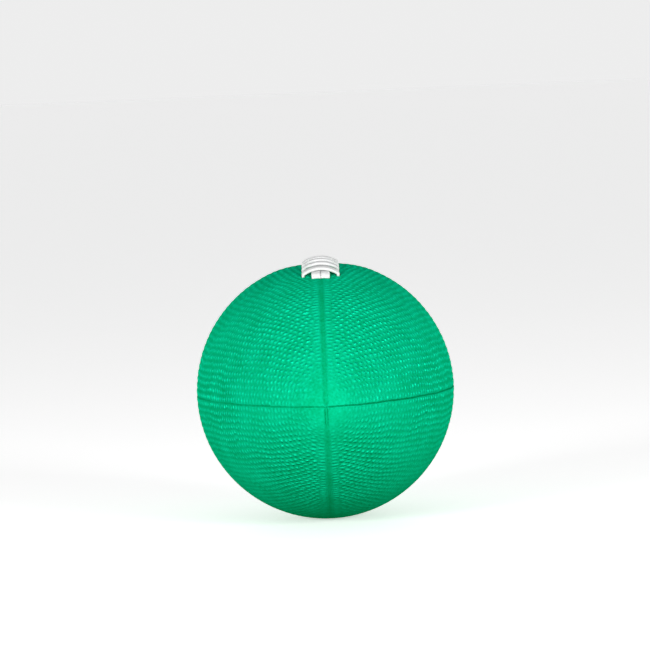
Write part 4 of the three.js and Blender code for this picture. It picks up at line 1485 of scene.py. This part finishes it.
# %% Lamps
LAMP_PLACE = (0.88, -1.06, 0.29)  # metres, the right one
LAMP_SIZE = 0.45
LAMP_WATTS = 17.0
WINDOW_STRENGTH = 1.4
WINDOW_ANGLE = math.radians(25)
WINDOW_TILT = math.radians(-82)
ball_centre = Vector((0.0, 0.0, CENTRE_HEIGHT * MILLIMETRE))


def soft_lamp(name, place):
    """Square lamp that looks at the ball from a place in metres."""
    lamp = bpy.data.lights.new(name, "AREA")
    lamp.size = LAMP_SIZE
    lamp.energy = LAMP_WATTS
    made = bpy.data.objects.new(name, lamp)
    made.location = place
    made.rotation_euler = (ball_centre - made.location).to_track_quat("-Z", "Y").to_euler()
    made.visible_camera = False
    bpy.context.scene.collection.objects.link(made)
    return made


for side, side_name in zip((-1, 1), SIDES):
    box = soft_lamp(f"{side_name}_softbox", Vector((side * LAMP_PLACE[0], *LAMP_PLACE[1:])))
    print(f"{box.name}: {(ball_centre - box.location).length:.2f} m from the ball")

window = bpy.data.lights.new("back_window", "SUN")
window.energy = WINDOW_STRENGTH
window.angle = WINDOW_ANGLE
back_window = bpy.data.objects.new("back_window", window)
back_window.rotation_euler = (WINDOW_TILT, 0.0, 0.0)
back_window.visible_glossy = False
bpy.context.scene.collection.objects.link(back_window)

# %% [markdown]
# Camera
#
# The camera stands two metres off with a long lens, almost level, and is rolled a little because the ball
# lies a little turned on its side. The ball sits below the middle of the picture. Lens shift could put it
# there, but a real camera would be tilted and panned, and so is this one.

# %% Camera
PICTURE = 650.0  # pixels
SENSOR = 36.0  # millimetres
DISTANCE = 2.0
RISE = math.radians(4.51)
ROLL = math.radians(2.4)
FOCAL = 3945.8  # pixels
BALL_AT = (325.4, 389.38)  # pixels
CLIP = (0.05, 200.0)  # metres

camera_data = bpy.data.cameras.new("photo_camera")
camera_data.sensor_width = SENSOR
camera_data.lens = FOCAL * SENSOR / PICTURE
camera_data.clip_start, camera_data.clip_end = CLIP
camera = bpy.data.objects.new("photo_camera", camera_data)
camera.location = ball_centre + DISTANCE * Vector((0.0, -math.cos(RISE), math.sin(RISE)))
aim = (ball_centre - camera.location).to_track_quat("-Z", "Y")
roll = Quaternion((0.0, 0.0, 1.0), -ROLL)
tilt = Quaternion((1.0, 0.0, 0.0), math.atan((BALL_AT[1] - PICTURE / 2) / FOCAL))
pan = Quaternion((0.0, 1.0, 0.0), math.atan((BALL_AT[0] - PICTURE / 2) / FOCAL))
camera.rotation_euler = (aim @ roll @ tilt @ pan).to_euler()
bpy.context.scene.collection.objects.link(camera)
bpy.context.scene.camera = camera
print(f"camera: lens {camera_data.lens:.0f} mm at {DISTANCE} m")
